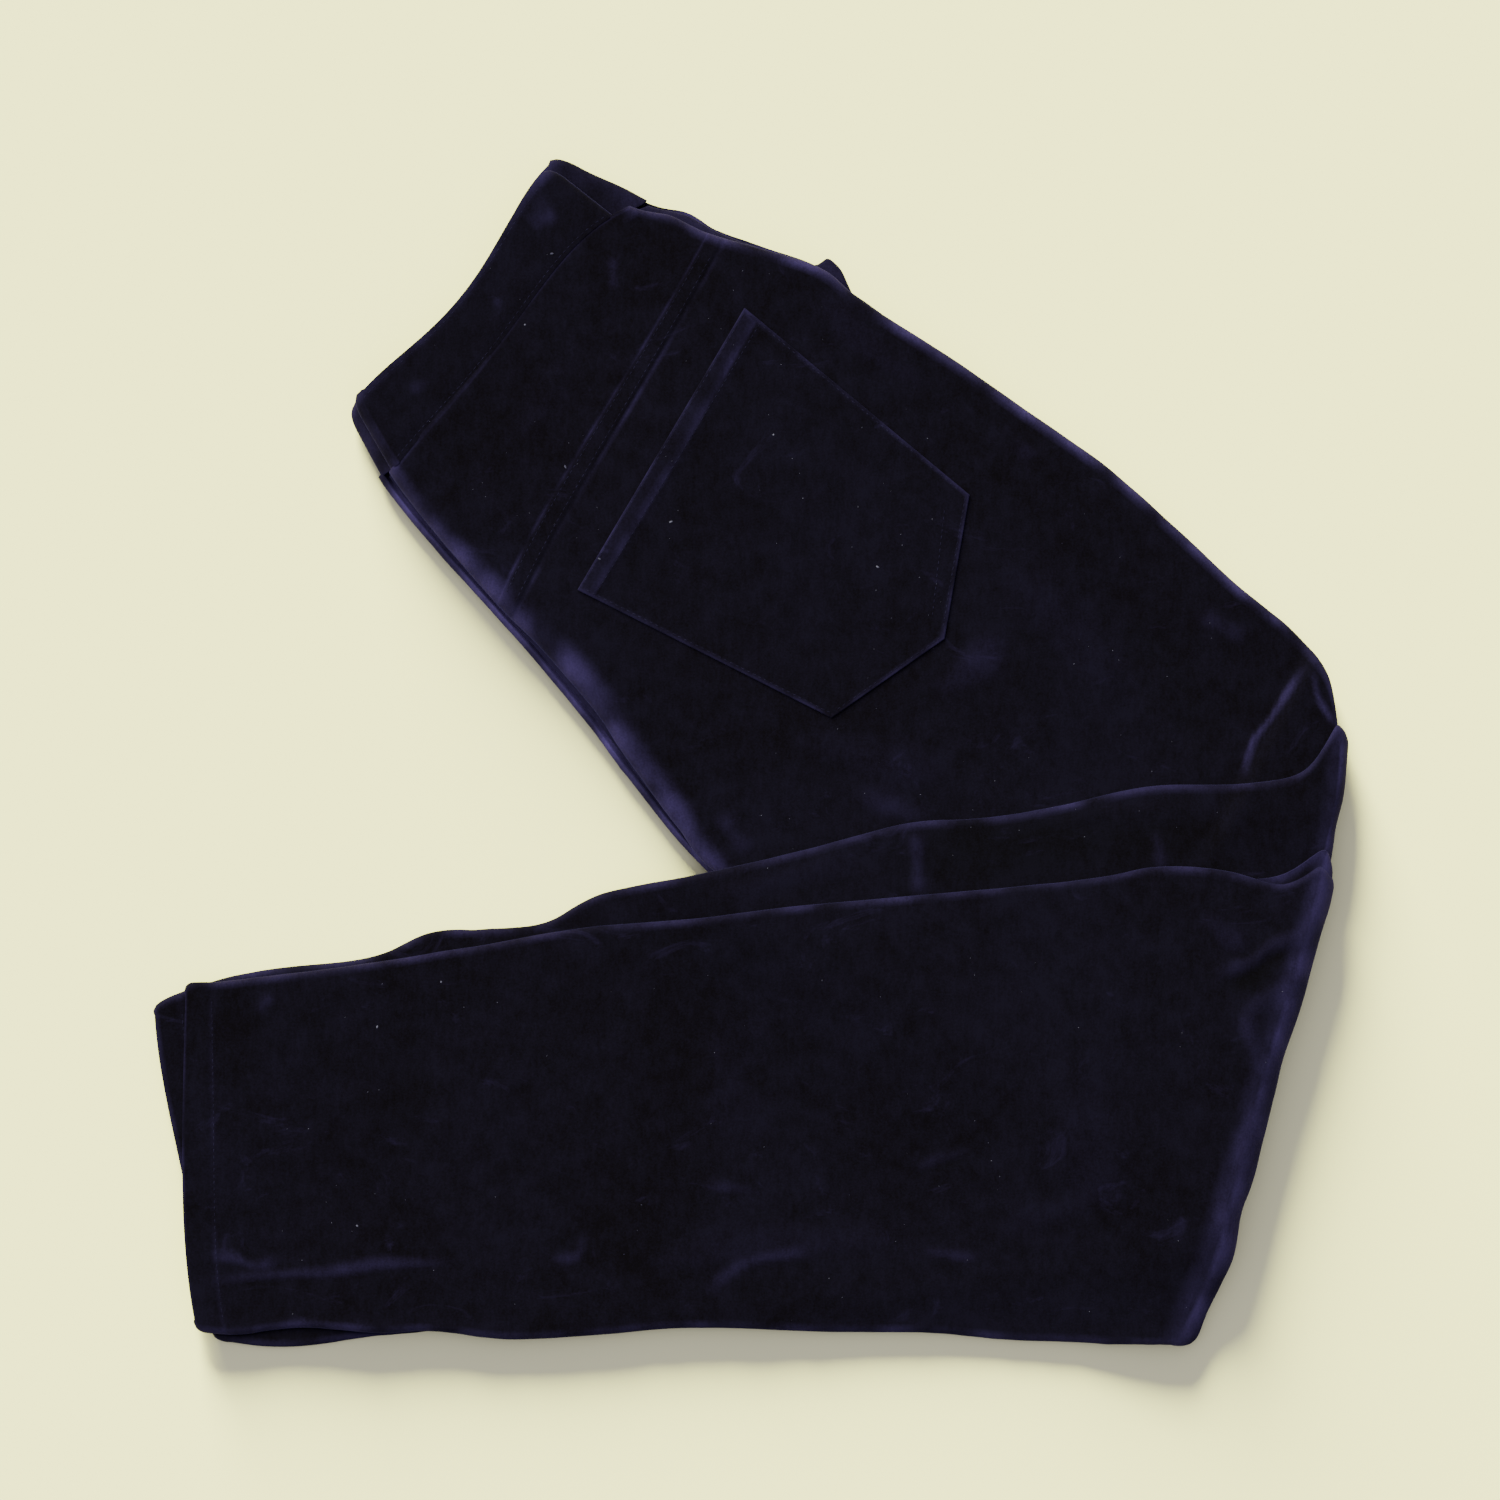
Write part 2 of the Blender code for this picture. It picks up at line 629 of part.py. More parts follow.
def fold_over(kind, centre, radius, height, shares, steps, downwards):
    """A half turn of the band, from one strip to the next."""
    places = []
    for k in range(1, steps):
        turn = math.pi * k / steps
        rise = radius * math.cos(turn) * (1 if downwards else -1)
        share = shares[0] + (shares[1] - shares[0]) * k / steps
        places.append(Place(kind, centre, radius * math.sin(turn), height + rise, share))
    return places


def band_path():
    """Once round the band: left back, left front, right front, right back."""
    pitch = BAND + LOOSE
    fold = pitch / 2
    bottom, second, third, top = (BAND / 2 + pitch * i for i in range(4))
    side = fold + BAND / 2
    round_all = (top - bottom) / 2
    centre_back = round_all + BAND / 2
    left, right = 1.0, 0.0
    path = strip(centre_back, top, left, False)
    path += fold_over("side", side, fold, top - fold, (left, left), SMALL_TURN, True)
    path += strip(CENTRE_FRONT, third, left, True)
    path += fold_over("centre", CENTRE_FRONT, fold, third - fold, (left, right), SMALL_TURN, True)
    path += strip(CENTRE_FRONT, second, right, False)
    path += fold_over("side", side, fold, second - fold, (right, right), SMALL_TURN, True)
    path += strip(centre_back, bottom, right, True)
    path += fold_over("centre", centre_back, round_all, bottom + round_all, (right, left), LARGE_TURN, False)
    return path, side


def band_spot(line, place, side):
    """The plan point of a place on the band, along one line of its width."""
    whole = width(line)
    if place.kind == "strip":
        return on_line(line, place.reach + (whole - side - place.reach) * place.value)
    if place.kind == "side":
        return on_line(line, whole - place.value + place.reach)
    return on_line(line, place.value - place.reach)


def waistband(material):
    """The band as one closed loop, pressed flat and folded with the garment."""
    path, side = band_path()
    grid = []
    for depth in np.linspace(0, 1 - SEAM / 2 / BAND_DEPTH, BAND_ROWS):
        row = []
        for place in [*path, path[0]]:
            spots = []
            for table in (RIGHT_HALF, LEFT_HALF):
                edge, seam = lines(table, [WAIST_ROW, BAND_ROW])
                spots.append(
                    band_spot(edge, place, side) * (1 - depth) + band_spot(seam, place, side) * depth
                )
            plan = spots[0] + (spots[1] - spots[0]) * place.share
            row.append((*plan, place.height))
        grid.append(row)
    thing = cloth("waistband", np.array(grid), material, BAND)
    bm = bmesh.new()
    bm.from_mesh(thing.data)
    bmesh.ops.remove_doubles(bm, verts=bm.verts, dist=1e-6)
    bmesh.ops.recalc_face_normals(bm, faces=bm.faces)
    bm.to_mesh(thing.data)
    bm.free()
    return thing


def pocket_left(material, count=10):
    """The back pocket, laid on the left back's own surface and moved out."""
    hem = np.array(POCKET_HEM)
    foot = np.array(POCKET_FOOT)
    down = [0, *POCKET_HEM_PLACES, *np.linspace(0.2, 1, 9)]
    grid = []
    for q in down:
        row = []
        for p in np.linspace(0, 1, count + 1):
            low = np.array([np.interp(p, (0, 0.5, 1), foot[:, axis]) for axis in (0, 1)])
            spot = hem[0] + (hem[1] - hem[0]) * p
            spot = spot + (low - spot) * q
            height = base(UNDER_BACK_LEFT, spot)[0] + VELVET + SEAM + PATCH / 2
            row.append((*spot, height + POCKET_DOUBLED * (q <= POCKET_HEM_PLACES[0])))
        grid.append(row)
    return cloth("pocket_left", np.array(grid), material, PATCH)


def start():
    """Clears the scene and makes the part's collection."""
    for thing in list(bpy.data.objects):
        bpy.data.objects.remove(thing)
    collection = bpy.data.collections.new(OBJECT_NAME)
    bpy.context.scene.collection.children.link(collection)


def main():
    """Builds the nine pieces."""
    start()
    nap = velvet("velvet", (0.012, 0.011, 0.022))
    nap_inside = velvet("velvet_inside", (0.009, 0.009, 0.014))
    waistband(nap)
    yoke("yoke_left", LEFT_HALF, UNDER_BACK_LEFT, left_edges, -1, nap)
    yoke("yoke_right", RIGHT_HALF, UNDER_BACK_RIGHT, right_edges, 1, nap)
    back_left(nap)
    pocket_left(nap)
    front_left(nap)
    front_right(nap)
    back_right(nap)
    inner_layers(nap_inside)


main()
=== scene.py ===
"""Dresses the folded velvet trousers: fine cloth shells on the frame's solids, seams and stitches.

The left half lies on the right half with the backs outside, and both legs are folded back over
the thighs. Plan sizes are in millimetres as seen from above: x to the right, y away, z up.
A row of a table is one line across the cloth, from its inner edge (centre back, then inseam) to
its outer edge (side seam). The bows move the line's quarter points towards the knee.
"""

import math
from collections import namedtuple

import bmesh
import bpy
import numpy as np
from bpy.props import FloatProperty, FloatVectorProperty, IntProperty, PointerProperty
from mathutils import Matrix, Vector, noise
from mathutils.bvhtree import BVHTree


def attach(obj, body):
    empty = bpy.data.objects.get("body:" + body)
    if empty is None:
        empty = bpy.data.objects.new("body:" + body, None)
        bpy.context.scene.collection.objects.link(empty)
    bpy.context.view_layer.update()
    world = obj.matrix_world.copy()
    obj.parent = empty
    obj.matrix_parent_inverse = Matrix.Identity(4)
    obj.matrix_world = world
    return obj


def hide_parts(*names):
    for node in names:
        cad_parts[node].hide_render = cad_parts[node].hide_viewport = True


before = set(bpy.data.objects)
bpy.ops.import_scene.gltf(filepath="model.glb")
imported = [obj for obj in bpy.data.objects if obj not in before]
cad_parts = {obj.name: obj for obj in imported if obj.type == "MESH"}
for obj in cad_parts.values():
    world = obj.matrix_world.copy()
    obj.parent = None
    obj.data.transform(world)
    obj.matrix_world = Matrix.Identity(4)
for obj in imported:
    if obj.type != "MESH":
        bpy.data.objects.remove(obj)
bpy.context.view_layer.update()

bl_info = {
    "name": "Folded velvet trousers",
    "version": (1, 0, 0),
    "blender": (4, 5, 0),
    "location": "View3D > Sidebar > Trousers",
    "description": "Dresses a pair of folded velvet trousers, piece by piece",
    "category": "Object",
}

MM = 0.001

# Cloth, in millimetres: the walls, the gap at a seam, the gaps between layers, how deep the band
# is, and how far the lowest layer is kept off the floor
VELVET, BAND, PATCH = 1.5, 3.0, 1.3
SEAM, LOOSE, LEG_LOOSE = 0.3, 0.7, 0.95
BAND_DEPTH = 37.0
OFF_FLOOR = 0.05

# The hidden fronts: how thick each is with its pocket bags and the air in it, how far their ends
# keep off the band and the knee fold, and how far the pocket mouth's corner comes out, at which
# rows and by what share
FRONT_AT_SEAT, FRONT_AT_KNEE = 4.6, 2.8
CORE_START, CORE_END = 0.5, 4.0
MOUTH_CORNER = 8.0
MOUTH_ROWS, MOUTH_SHARES = (4.9, 5.05, 5.5, 6.1), (0, 1, 0.85, 0)

# Between which plan points they get thinner, from the seat to the knee
SEAT_SPOT, KNEE_SPOT = np.array((-60.0, 170.0)), np.array((265.0, -110.0))

# How far cloth takes to come down past an edge, for each millimetre of the edge's height
DRAPE = 18.0

# How far each layer reaches past the fold line at the knee, from the inside out
REACH_BACK_LEFT, REACH_FRONT_LEFT = 1.3, 3.8
REACH_FRONT_RIGHT, REACH_BACK_RIGHT = 6.3, 8.8
BEND_ANGLES = (15, 30, 45, 60, 75, 90, 105, 120, 135, 150, 165)

# The raised corner of the left leg beside the fold: how high it is, the line that it rises from,
# over how far, and between which heights of the plan it fades
CORNER_LIFT, CORNER_SLOPE = 3.5, 10.0
CORNER_LINE = ((278.5, 43.5), (246.5, -17.5))
CORNER_FADE = (-25.0, -70.0)

Line = namedtuple("Line", "in_x in_y out_x out_y bow_1 bow_2 bow_3 roll")

# The upper left half, from the waist edge down to the fold. Roll is how wide the cloth
# turns down at the centre back and the inseam.
LEFT_HALF = [
    Line(-199, 173, -99, 292, 3.8, 7, 2.4, 5),
    Line(-179, 138.5, -59, 271.5, -1.5, -3.8, -7.9, 6),
    Line(-153, 105, -39, 267, -2.2, -3, -3.5, 8),
    Line(-126, 74, -21, 258.5, -2.6, -1.6, 0, 11),
    Line(-102, 49.5, 9, 249.5, 0, 0, 0, 13),
    Line(-77, 20.5, 36, 240.5, 0, 0, 0, 13),
    Line(-66, 4, 51, 228.5, 0, 0, 0, 13),
    Line(-54, -13, 69, 216, 0, 0, 0, 12),
    Line(-35, -38.5, 100, 196.5, 0, 0, 0, 11),
    Line(-19, -58.5, 131, 175, 0, 0, 0, 9),
    Line(25, -88.5, 174, 145, 0, 0, 0, 8),
    Line(78, -123.5, 209, 115, 0, 0, 0, 8),
    Line(130, -158.5, 241, 85, 0, 0, 0, 8),
    Line(180, -191.5, 270.5, 60.5, 1, 1.5, 1, 8),
    Line(211, -212.5, 288.5, 39, 2, 3, 3.5, 8),
    Line(236, -228.5, 294, 12.5, 2.6, 4.4, 7.2, 8),
]

# The upper right half, which lies under the left one and a little askew to it
RIGHT_HALF = [
    Line(-201, 166.5, -96, 298, 4, 7.5, 2.2, 5.5),
    Line(-184.5, 136, -52, 274, -1.5, -4.8, -7.9, 5.5),
    Line(-157, 101.5, -31, 269, -2.2, -3, -3.5, 5.5),
    Line(-130, 71.5, -16, 260, -2.6, -1.6, 0, 5.5),
    Line(-106, 44.5, 9, 251, 0, 0, 0, 5.5),
    Line(-81, 14.5, 35, 241.5, 0, 0, 0, 5.5),
    Line(-69, -1.5, 51, 229, 0, 0, 0, 5.5),
    Line(-57, -17.5, 67, 217.5, 0, 0, 0, 5.5),
    Line(-37, -42.5, 93, 196.5, 0, 0, 0, 5.5),
    Line(-19, -62, 125, 160.5, 0, 0, 0, 5.5),
    Line(21, -99.5, 163, 119.5, 0, 0, 0, 5.5),
    Line(65, -144.5, 195, 76.5, 0, 0, 0, 5.5),
    Line(110, -190.5, 228, 33, 0, 0, 0, 5.5),
    Line(155, -236.5, 254, -8.5, 2, 1, 1, 5.5),
    Line(185, -268.5, 271, -35.5, 4, 2, 1.5, 5.5),
    Line(211, -296.5, 285, -58, 6, 3, 2, 5.5),
]
WAIST_ROW, BAND_ROW, YOKE_ROW, CROTCH_ROW, THIGH_ROW, KNEE_ROW = 0, 1, 3, 9, 12, 15

# The lower left leg, from the fold to the hem
LEFT_LEG = [
    Line(236, -228.5, 294, 12.5, 2.6, 4.4, 7.2, 6),
    Line(215, -243.5, 277, -10.5, 2, 3, 3, 6),
    Line(185, -251.5, 246, -17, 0, 0, 0, 6),
    Line(150, -256.5, 200, -18, 0, 0, 0, 6),
    Line(113, -261.5, 155, -28, 0, 0, 0, 6),
    Line(78, -265, 118, -34, 0, 0, 0, 6),
    Line(45, -268.5, 78, -37, 0, 0, 0, 6),
    Line(5, -273, 29, -49.5, 0, 0, 0, 6),
    Line(-37, -277.5, -19, -61, 0, 0, 0, 6),
    Line(-87, -282.5, -73, -72, 0, 0, 0, 6),
    Line(-113, -285, -102, -86.5, 0, 0, 0, 6),
    Line(-141, -288, -132, -89.5, 0, 0, 0, 6),
    Line(-166, -290.5, -160, -91.5, 0, 0, 0, 6),
    Line(-190, -293, -191, -104, 0, 0, 0, 6),
    Line(-235, -298, -252, -111.5, -0.5, -1, -1, 6),
    Line(-268, -294.5, -298, -126.5, 0, -1.2, -2.5, 6),
]

# The lower right leg, on top of the left one
RIGHT_LEG = [
    Line(211, -296.5, 285, -58, 6, 3, 2, 6),
    Line(190, -296.5, 266, -67, 3, 2, 2, 6),
    Line(163, -295.5, 238, -60.5, 0, 0, 0, 6),
    Line(125, -294, 205, -58.5, 0, 0, 0, 6),
    Line(88, -290.5, 170, -64.5, 0, 0, 0, 6),
    Line(40, -290.5, 114, -70, 0, 0, 0, 6),
    Line(-25, -288, 29, -77.5, 0, 0, 0, 6),
    Line(-75, -291.5, -30, -84.5, 0, 0, 0, 6),
    Line(-120, -294, -86, -89.5, 0, 0, 0, 6),
    Line(-157, -290, -132, -97.5, 0, 0, 0, 6),
    Line(-187, -290.5, -170, -103.5, 0, 0, 0, 6),
    Line(-225, -288, -226, -111.5, -1, -1, -0.5, 6),
    Line(-255, -291.5, -262, -115.5, -3, -2, -1, 6),
    Line(-276.5, -290, -282, -116.5, -4.5, -4.5, -2.5, 6),
]
LEFT_END = len(LEFT_LEG) - 1
RIGHT_END = len(RIGHT_LEG) - 1

# The left back pocket: its two hem corners, then the corners and the point of its foot
POCKET_HEM = ((-2.5, 221.5), (-86, 80.5))
POCKET_FOOT = ((110, 128), (97.5, 56), (41, 16.5))
POCKET_HEM_PLACES = (0.055, 0.065)
POCKET_DOUBLED = 0.4

# Each sheet's own place in the noise that makes its edges, puckers and nap uneven, and what is
# added to it for the outer edge, the soft waves and the nap
LEFT_SEED, LEFT_TUCKED_SEED, RIGHT_SEED = 1.3, 2.1, 3.7
RIGHT_LEG_SEED, LEFT_LEG_SEED, RIGHT_TUCKED_SEED = 4.9, 6.3, 7.7
OUTER_SEED, WAVE_SEED, NAP_SEED = 20, 5, 9

BOW_PLACES = (0, 0.25, 0.5, 0.75, 1)
BOW_WEIGHTS = np.linalg.inv(np.vander(BOW_PLACES, increasing=True))

# A crease: its path, how wide it is on each side, how high it stands (a trough is
# below 0) and how much painted highlight it gets along it (painted shade below 0)
Crease = namedtuple("Crease", "path width height light")

CREASES_LEFT_HALF = [
    Crease(((279, 44.5), (270.5, 32), (261, 17), (251, 3.5), (246, -16)), 2.6, 1.5, 2.4),
    Crease(((281.2, 41), (284.2, 26.5), (291.8, 14), (293.8, 10)), 2.2, 0.9, 1.7),
    Crease(((128.8, 62), (112, 45), (91.8, 26.5)), 11, 1.1, 0.5),
    Crease(((222.2, 68), (236, 62), (249.2, 53.5)), 6, 0.8, 0.45),
    Crease(((131.2, 155), (141.2, 144.5)), 5, 0.5, 0.4),
    Crease(((50.2, -19.5), (70, -28), (91.8, -33.5)), 8, 0.8, 0.4),
    Crease(((-16.2, -29), (-9, -42), (1.2, -52.5)), 6, 0.7, 0.5),
    Crease(((20, 10), (60, -6), (105, -12)), 14, 0.9, 0.15),
    Crease(((120, 100), (160, 60), (190, 20)), 18, 1.0, 0.12),
    Crease(((190, 70), (215, 30), (225, -10)), 14, -0.8, -0.2),
    Crease(((-105, 205), (-85, 170), (-80, 150)), 12, 0.7, 0.12),
    Crease(((30, 235), (60, 200), (95, 180)), 10, 0.6, 0.2),
]

CREASES_BAND = [
    Crease(((-126.8, 213), (-124.8, 220.5), (-126.8, 227.5)), 3, 0.3, 0.7),
    Crease(((-110, 262), (-102.2, 268), (-96, 272)), 9, 0.4, 0.7),
    Crease(((-170, 178), (-160, 186)), 4, 0.3, 0.4),
]

CREASES_YOKE = [
    Crease(((-68.8, 248.5), (-68.2, 229.5)), 3, 0.3, 0.6),
    Crease(((-62, 272), (-56, 266)), 6, 0.9, 0.7),
    Crease(((-120, 150), (-100, 175), (-92, 205)), 12, 0.6, 0.1),
]

CREASES_LEFT_LEG = [
    Crease(((81.2, -37.5), (83, -52), (83.8, -75)), 5, 0.9, 0.7),
    Crease(((200.8, -39.5), (204, -48), (205.2, -62)), 4, 0.8, 0.5),
    Crease(((240, -25), (205, -30), (170, -32), (140, -40)), 7, 0.7, 0),
    Crease(((60, -50), (20, -62), (-20, -74)), 8, 0.7, 0.12),
    # A wide band of painted shade with no height, along the left leg
    Crease(((262, -48), (200, -42), (120, -46), (50, -60)), 26, 0, -0.65),
    Crease(((-260, -118), (-235, -113), (-205, -112)), 6, 0.6, 0.2),
]

CREASES_RIGHT_FRONT = [
    Crease(((291.8, -46), (274.2, -54.5), (255.2, -63.5)), 4, 1.0, 0.5),
]

CREASES_RIGHT_LEG = [
    Crease(((281.2, -89.5), (261.2, -96), (250.8, -104.5), (228.8, -111)), 5, 1.5, 0.55),
    Crease(((283, -97), (262, -104), (250, -113), (230, -118)), 8, -0.8, -0.8),
    Crease(((274.2, -111.5), (260, -121), (248.2, -133), (254.8, -154.5)), 6, 0.8, 0.35),
    Crease(((244.2, -128.5), (250, -146), (257.2, -165.5)), 7, 0.7, 0.45),
    Crease(((79.2, -214), (95, -208), (109.8, -203.5)), 3, -0.4, -0.4),
    Crease(((81, -210), (96, -204), (111, -199)), 4, 0.5, 0.3),
    Crease(((-24.8, -274), (-11.8, -263), (3.2, -254.5), (33.8, -250)), 4, 0.8, 0.8),
    Crease(((85.8, -250), (100, -252), (116.2, -254.5)), 3.5, 0.6, 0.6),
    Crease(((-24.8, -217.5), (-10, -219), (3.2, -219.5)), 4, 0.4, 0.4),
    Crease(((-271.8, -252.5), (-258, -254), (-246.8, -258), (-233.2, -254.5)), 4, 0.8, 0.8),
    Crease(
        ((-277.2, -267.5), (-256.2, -264), (-233.2, -262), (-210.2, -261), (-187.2, -257),
         (-170.2, -256.5), (-140, -256)), 4, 0.9, 0.9,
    ),
    Crease(((-101.2, -254.5), (-85.8, -252.5), (-82.2, -241)), 3.5, 0.5, 0.6),
    Crease(((-240.8, -289.5), (-223.8, -287.5), (-210.2, -288.5), (-181.8, -291)), 4, 0.9, 0.6),
    Crease(((-246.8, -131.5), (-242, -126), (-237.2, -122)), 4, 0.5, 0.5),
    Crease(((-60, -258), (-20, -252), (40, -246), (90, -243)), 12, 0.7, 0.15),
    Crease(((120, -238), (160, -228), (190, -214)), 12, 0.7, 0.12),
    Crease(((150, -150), (165, -190), (160, -230)), 26, 0.8, 0.1),
    Crease(((-160, -140), (-175, -180), (-170, -220)), 20, -0.6, -0.15),
    Crease(((0, -120), (-15, -160), (-5, -200)), 22, 0.6, 0.08),
    Crease(((228, -80), (236, -92), (250, -100)), 7, 0.9, 0.4),
]


def smooth(value):
    """A ramp from 0 to 1 with level ends."""
    t = np.clip(value, 0, 1)
    return t * t * (3 - 2 * t)


def lines(table, places):
    """Lines at places in a table, where 2.5 is half way from row 2 to row 3, on a smooth curve."""
    rows = np.array(table, float)
    found = []
    for place in places:
        i = min(int(place), len(rows) - 2)
        t = place - i
        a, b, c, d = (rows[min(max(j, 0), len(rows) - 1)] for j in (i - 1, i, i + 1, i + 2))
        found.append(
            0.5 * (2 * b + (c - a) * t + (2 * a - 5 * b + 4 * c - d) * t**2
                   + (3 * b - a - 3 * c + d) * t**3)
        )
    return np.array(found)


def on_line(line, distances):
    """The plan points at these distances along a line, from its inner edge."""
    distances = np.atleast_1d(distances)
    along = (line[2:4] - line[:2]) / width(line)
    towards_knee = np.array([along[1], -along[0]])
    weights = BOW_WEIGHTS @ np.array([0, *line[4:7], 0])
    inside = np.clip(distances / width(line), 0, 1)
    bow = sum(w * inside**k for k, w in enumerate(weights))
    return line[:2] + np.outer(distances, along) + np.outer(bow, towards_knee)


def width(line):
    """How long a line across the cloth is, from edge to edge."""
    return float(np.hypot(line[2] - line[0], line[3] - line[1]))


def outline(table):
    """The closed plan outline of a table's cloth."""
    last_row = len(table) - 1
    rows = lines(table, np.linspace(0, last_row, 3 * last_row + 1))
    first = on_line(rows[0], width(rows[0]) * np.array((0.25, 0.5, 0.75)))
    last = on_line(rows[-1], width(rows[-1]) * np.array((0.75, 0.5, 0.25)))
    return np.array([*first, *rows[:, 2:4], *last, *rows[::-1, :2]])


def outside(shape, points):
    """How far each point lies outside a closed outline, 0 for a point in it."""
    a = shape
    b = np.roll(shape, -1, axis=0)
    side = b - a
    p = points[:, None, :]
    t = np.clip(((p - a) * side).sum(2) / (side**2).sum(1), 0, 1)
    away = np.linalg.norm(p - (a + t[..., None] * side), axis=2).min(1)
    x, y = p[..., 0], p[..., 1]
    rise = np.where(b[:, 1] == a[:, 1], 1, b[:, 1] - a[:, 1])
    crossed = ((a[:, 1] > y) != (b[:, 1] > y)) & (x < side[:, 0] * (y - a[:, 1]) / rise + a[:, 0])
    return np.where(crossed.sum(1) % 2 == 1, 0, away)


def front_height(points):
    """How thick each hidden front is, from the seat to the knee."""
    way = KNEE_SPOT - SEAT_SPOT
    way = (points - SEAT_SPOT) @ way / (way**2).sum()
    return FRONT_AT_SEAT + (FRONT_AT_KNEE - FRONT_AT_SEAT) * smooth(way)


def wall_layer(table, loose):
    """A layer of plain cloth: its outline, its thickness and how far cloth drapes off its edge."""
    height = VELVET + loose
    return outline(table), lambda points: np.full(len(points), height), DRAPE * height


def front_layer(table, loose):
    """A layer of hidden front, which is thinner towards the knee."""
    return outline(table), lambda points: front_height(points) + loose, DRAPE * FRONT_AT_SEAT


# The pile from the floor up. Each layer lifts what lies on it.
PILE = [
    wall_layer(RIGHT_HALF, LOOSE),
    front_layer(RIGHT_HALF, 0),
    front_layer(LEFT_HALF, LOOSE),
    wall_layer(LEFT_HALF, LEG_LOOSE),
    wall_layer(LEFT_LEG, LOOSE),
    wall_layer(LEFT_LEG, LEG_LOOSE),
    wall_layer(RIGHT_LEG, LOOSE),
]

# How many layers of the pile lie under each piece
UNDER_BACK_RIGHT, UNDER_FRONT_RIGHT, UNDER_FRONT_LEFT, UNDER_BACK_LEFT = 0, 1, 2, 3
UNDER_LEG_BACK_LEFT, UNDER_LEG_FRONT_LEFT, UNDER_LEG_FRONT_RIGHT, UNDER_LEG_BACK_RIGHT = 4, 5, 6, 7


def corner_lift(points):
    """How far the left half is raised beside the fold, where it turns over."""
    foot, head = np.array(CORNER_LINE[1]), np.array(CORNER_LINE[0])
    along = (head - foot) / np.hypot(*(head - foot))
    right = (points - foot) @ np.array([along[1], -along[0]])
    near = smooth((points[:, 1] - CORNER_FADE[1]) / (CORNER_FADE[0] - CORNER_FADE[1]))
    return CORNER_LIFT * smooth(0.5 + right / CORNER_SLOPE) * near


def base(layer, points):
    """The height of what lies under a layer of the pile."""
    points = np.asarray(points, float).reshape(-1, 2)
    height = np.zeros(len(points))
    for shape, thickness, drape in PILE[:layer]:
        height += thickness(points) * (1 - smooth(outside(shape, points) / drape))
    if layer >= UNDER_BACK_LEFT:
        height += corner_lift(points)
    return height


# How a sheet ends: how far inside the table's line, how wide it turns down, how deep, and
# how many quarter turns it makes
Edge = namedtuple("Edge", "inset roll drop turn")
TURN_ANGLES = (90, 75, 60, 45, 30, 15)

# The open edges that are tucked inside a leg, and those that close round them
TUCKED = Edge(2.6, 6.0, 0.0, 1)
CLOSING = Edge(0.0, 3.0, 2.65, 1)

# The side seams of the upper half: how wide they turn down, and over how much of the front
SIDE_ROLL = 4.0
SIDE_SHARE = 0.45
UPTURN = Edge(0.0, 3.0, 1.3, 1)

# How far a turned edge comes down past the front's own height, at the back and at the side
PAST_FRONT_AT_BACK = 1.05
PAST_FRONT_AT_SIDE = 1.35

# The puckered lip of the right half: how many quarter turns, and how far above the front
LIP_TURN = 5 / 3
LIP_ABOVE = 0.5
INSEAM_SHARE = 0.6

# Where the edges change along the rows: the first row of the change and how many it takes
TUCK_INSEAM = (THIGH_ROW - 0.5, 2.5)
TUCK_SIDE = (KNEE_ROW - 1, 1)
END_LIP = (CROTCH_ROW, 1.5)

# How far the right front comes out past the right back, where, and over how many rows
PEEK, PEEK_PLACE, PEEK_ROWS = 13.0, 0.35, 1.7


def front_at(spot):
    """How thick the hidden front is at one plan point."""
    return float(front_height(np.asarray(spot)[None, :])[0])


def change(place, rows):
    """How far a change along the rows has gone at this place, from 0 to 1."""
    return smooth((place - rows[0]) / rows[1])


def blend(a, b, share):
    """An edge between two others."""
    return Edge(*(x + (y - x) * share for x, y in zip(a, b)))


def left_edges(line, place):
    """How the upper left half ends at the centre back or inseam, and at the side seam."""
    inner = Edge(0, line[7], front_at(line[:2]) + PAST_FRONT_AT_BACK, 1)
    outer = Edge(0, SIDE_ROLL, SIDE_SHARE * front_at(line[2:4]) + PAST_FRONT_AT_SIDE, 1)
    return (
        blend(inner, TUCKED, change(place, TUCK_INSEAM)),
        blend(outer, TUCKED, change(place, TUCK_SIDE)),
    )


def right_edges(line, place):
    """How the upper right half turns up: as a lip along the centre back, closed past it."""
    front = front_at(line[:2])
    whole_turn = 1 - math.cos(math.radians(90 * LIP_TURN))
    lip = Edge(0, line[7], (front + LIP_ABOVE) / whole_turn, LIP_TURN)
    inseam = Edge(0, line[7], INSEAM_SHARE * front, 1)
    return blend(lip, inseam, change(place, END_LIP)), UPTURN


def both(edge):
    """The same edge on both sides of every line."""
    return lambda line, place: (edge, edge)


def peeking(line, place):
    """The right front's lower edges: beside the fold its side seam comes out past the back."""
    out = PEEK * smooth(1 - abs(place - PEEK_PLACE) / PEEK_ROWS)
    return TUCKED, TUCKED._replace(inset=TUCKED.inset - out)


def across(line, count, inner, outer):
    """Plan points and drops across one line of a sheet, with its edges turned."""
    whole = width(line)
    turns = np.radians(TURN_ANGLES)
    ins = inner.inset + inner.roll - (inner.roll - VELVET / 2) * np.sin(turns * inner.turn)
    outs = outer.inset + outer.roll - (outer.roll - VELVET / 2) * np.sin(turns * outer.turn)
    flat = np.linspace(inner.inset + inner.roll, whole - outer.inset - outer.roll, count + 1)
    distances = np.array([*ins, *flat, *(whole - outs[::-1])])
    drops = np.array([
        *(inner.drop * (1 - np.cos(turns * inner.turn))), *np.zeros(count + 1),
        *(outer.drop * (1 - np.cos(turns * outer.turn)))[::-1],
    ])
    return on_line(line, distances), drops


def between(first, last, per_row, extra=()):
    """Places from one row to another, at so many a row, with some extra ones."""
    count = int(round((last - first) * per_row)) + 1
    return sorted({*np.linspace(first, last, count).round(5), *extra})
